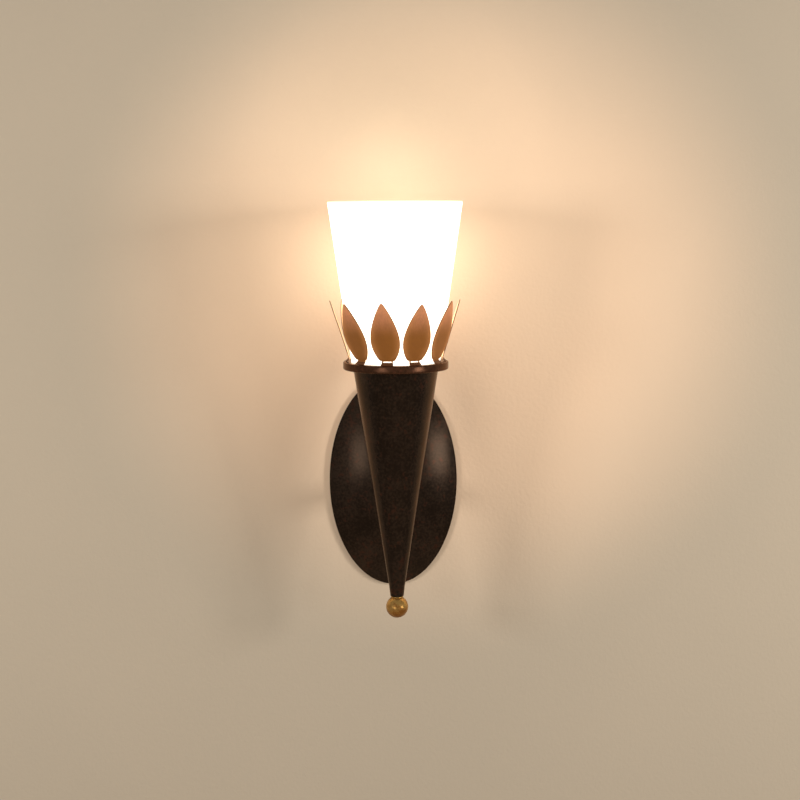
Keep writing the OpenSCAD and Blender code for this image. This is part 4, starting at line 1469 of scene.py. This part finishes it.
def make_shell():
    low, high = shell_low.z, shell_high.z
    span = (low + 2 * MM, high - 3 * MM)
    outside = [(SHELL_R, low), *thread_rows(SHELL_R, *span, CAP_PITCH), (SHELL_R, high)]
    inside = [(radius - SHELL_SHEET, height) for radius, height in reversed(outside[1:])]
    floor = [
        (SHELL_R - SHELL_SHEET, low + SHELL_FLOOR), (SHELL_HOLE_R, low + SHELL_FLOOR), (SHELL_HOLE_R, low)
    ]
    shape = thread(SHELL_R, CAP_PITCH, SHELL_ROLL, [span], rolled=True)
    stand_in("rolled_shell", turned(outside + inside + floor, 96, TORCH, shape), "screw_shell")


make_shell()
print("screw shell", round(2 * SHELL_R / MM, 1), "mm across")

# %% [markdown]
# ## The leads
# Three leads in heat-proof sleeves run from the lampholder and the pan down
# inside the torch, through the arm and to the block behind the plate. The
# points are the drawing's own, and a smooth curve goes through them.

# %% Leads
LEAD_R = 0.9 * MM
LEAD_IN_CONE = [
    (8.5, -1, 142), (8.4, 2.8, 142), (6.8, 6.8, 141), (4.8, 9.8, 138.6), (3.5, 11.3, 135),
    (2.6, 12, 130), (2.1, 12.8, 122), (1.8, 13.4, 110), (1.6, 13.5, 70), (1.4, 13.4, 30),
    (1.4, 13.2, 14), (1.4, 13.5, 7.5), (1.4, 14.6, 3), (1.4, 16.6, 0.2), (1.4, 19, -0.8), (1.4, 26, -0.8),
]
LEAD_IN_ARM = [
    (1.4, -40, -0.8), (1.4, -14, -0.8), (1.4, -11, -1), (2, -8.9, -2.8), (3.4, -7.8, -6.5),
    (4.8, -7.5, -10.5), (4.8, -7.5, -20),
]
EARTH_IN_CONE = [
    (0, 28, 123.7), (0, 30.8, 123.7), (0, 33, 123), (0, 34.6, 121), (0, 34.8, 117.5), (0, 34, 112),
    (0, 32.4, 104), (0, 26, 62), (0, 20.6, 28), (0, 18.2, 17), (0, 16.6, 10), (0, 16.4, 5.6),
    (0, 17.4, 3), (0, 19.6, 1.7), (0, 24, 1.6), (0, 28, 1.6),
]
EARTH_IN_ARM = [
    (0, -40, 1.6), (0, -14, 1.6), (0, -11, 1.7), (0, -8.4, 2.8), (0, -6, 5.4), (0, -4.4, 8.4),
    (0, -3.6, 11), (0, -3.5, 13), (0, -3.5, 16),
]


def make_lead(name, node, in_cone, in_arm, side):
    """side is -1 for a mirrored lead; the cone's points count y from the torch axis."""
    points = [Vector((side * x * MM, TORCH_Y + y * MM, z * MM)) for x, y, z in in_cone]
    points += [Vector((side * x * MM, y * MM, z * MM)) for x, y, z in in_arm]
    stand_in(name, swept(smooth_route(points), LEAD_R), node)


make_lead("live_sleeve", "lead_live", LEAD_IN_CONE, LEAD_IN_ARM, 1)
make_lead("neutral_sleeve", "lead_neutral", LEAD_IN_CONE, LEAD_IN_ARM, -1)
make_lead("earth_sleeve", "lead_earth", EARTH_IN_CONE, EARTH_IN_ARM, 1)
print("three leads,", round(2 * LEAD_R / MM, 1), "mm thick")

# %% [markdown]
# ## Everything else
# Stamped, moulded and turned small parts have the right shape in the drawing,
# but its edges are knife-sharp. So each solid is copied, its flat faces are
# made whole again and every sharp edge is rounded by a fraction of a
# millimetre. The arm's tube and bush, the grommet and the inserts of the block
# fit other parts closely, so they keep their drawn shape and only get a finish.

# %% Round the sharp edges of a drawn solid
EASED_EDGES = {
    # rounding in mm
    "mounting_strap": 0.3, "terminal_block": 0.4, "block_screw": 0.2, "earth_screw": 0.25,
    "terminal_screws": 0.12, "nipple_washer": 0.15, "rod_washer": 0.15, "nipple_bushing": 0.3,
    "shade_pan": 0.2, "pan_earth_screw": 0.3, "earth_tags": 0.1, "shade_gasket": 0.3,
    "lampholder_cap": 0.6, "lampholder_screws": 0.3, "centre_contact": 0.12,
}
KEPT = ["arm_tube", "arm_bush", "wire_grommet", "terminal_inserts"]


def eased(node, rounding):
    """A copy of the node's solid with its sharp edges rounded."""
    build = bmesh.new()
    build.from_mesh(frame["nodes"][node].data)
    bmesh.ops.remove_doubles(build, verts=build.verts, dist=1e-6)
    bmesh.ops.dissolve_limit(build, angle_limit=math.radians(1), verts=build.verts, edges=build.edges)
    sharp = [edge for edge in build.edges if edge.is_manifold and edge.calc_face_angle() > SMOOTH_ANGLE]
    bmesh.ops.bevel(
        build, geom=sharp, offset=rounding, segments=2, profile=0.5, affect="EDGES", clamp_overlap=True)
    return build


for node, rounding in EASED_EDGES.items():
    stand_in(f"eased_{node}", eased(node, rounding * MM), node)
for node in KEPT:
    data = frame["nodes"][node].data
    data.materials.clear()
    data.materials.append(finishes[SLOT_OF[node]])
print(len(EASED_EDGES), "eased pieces,", len(KEPT), "kept as drawn")
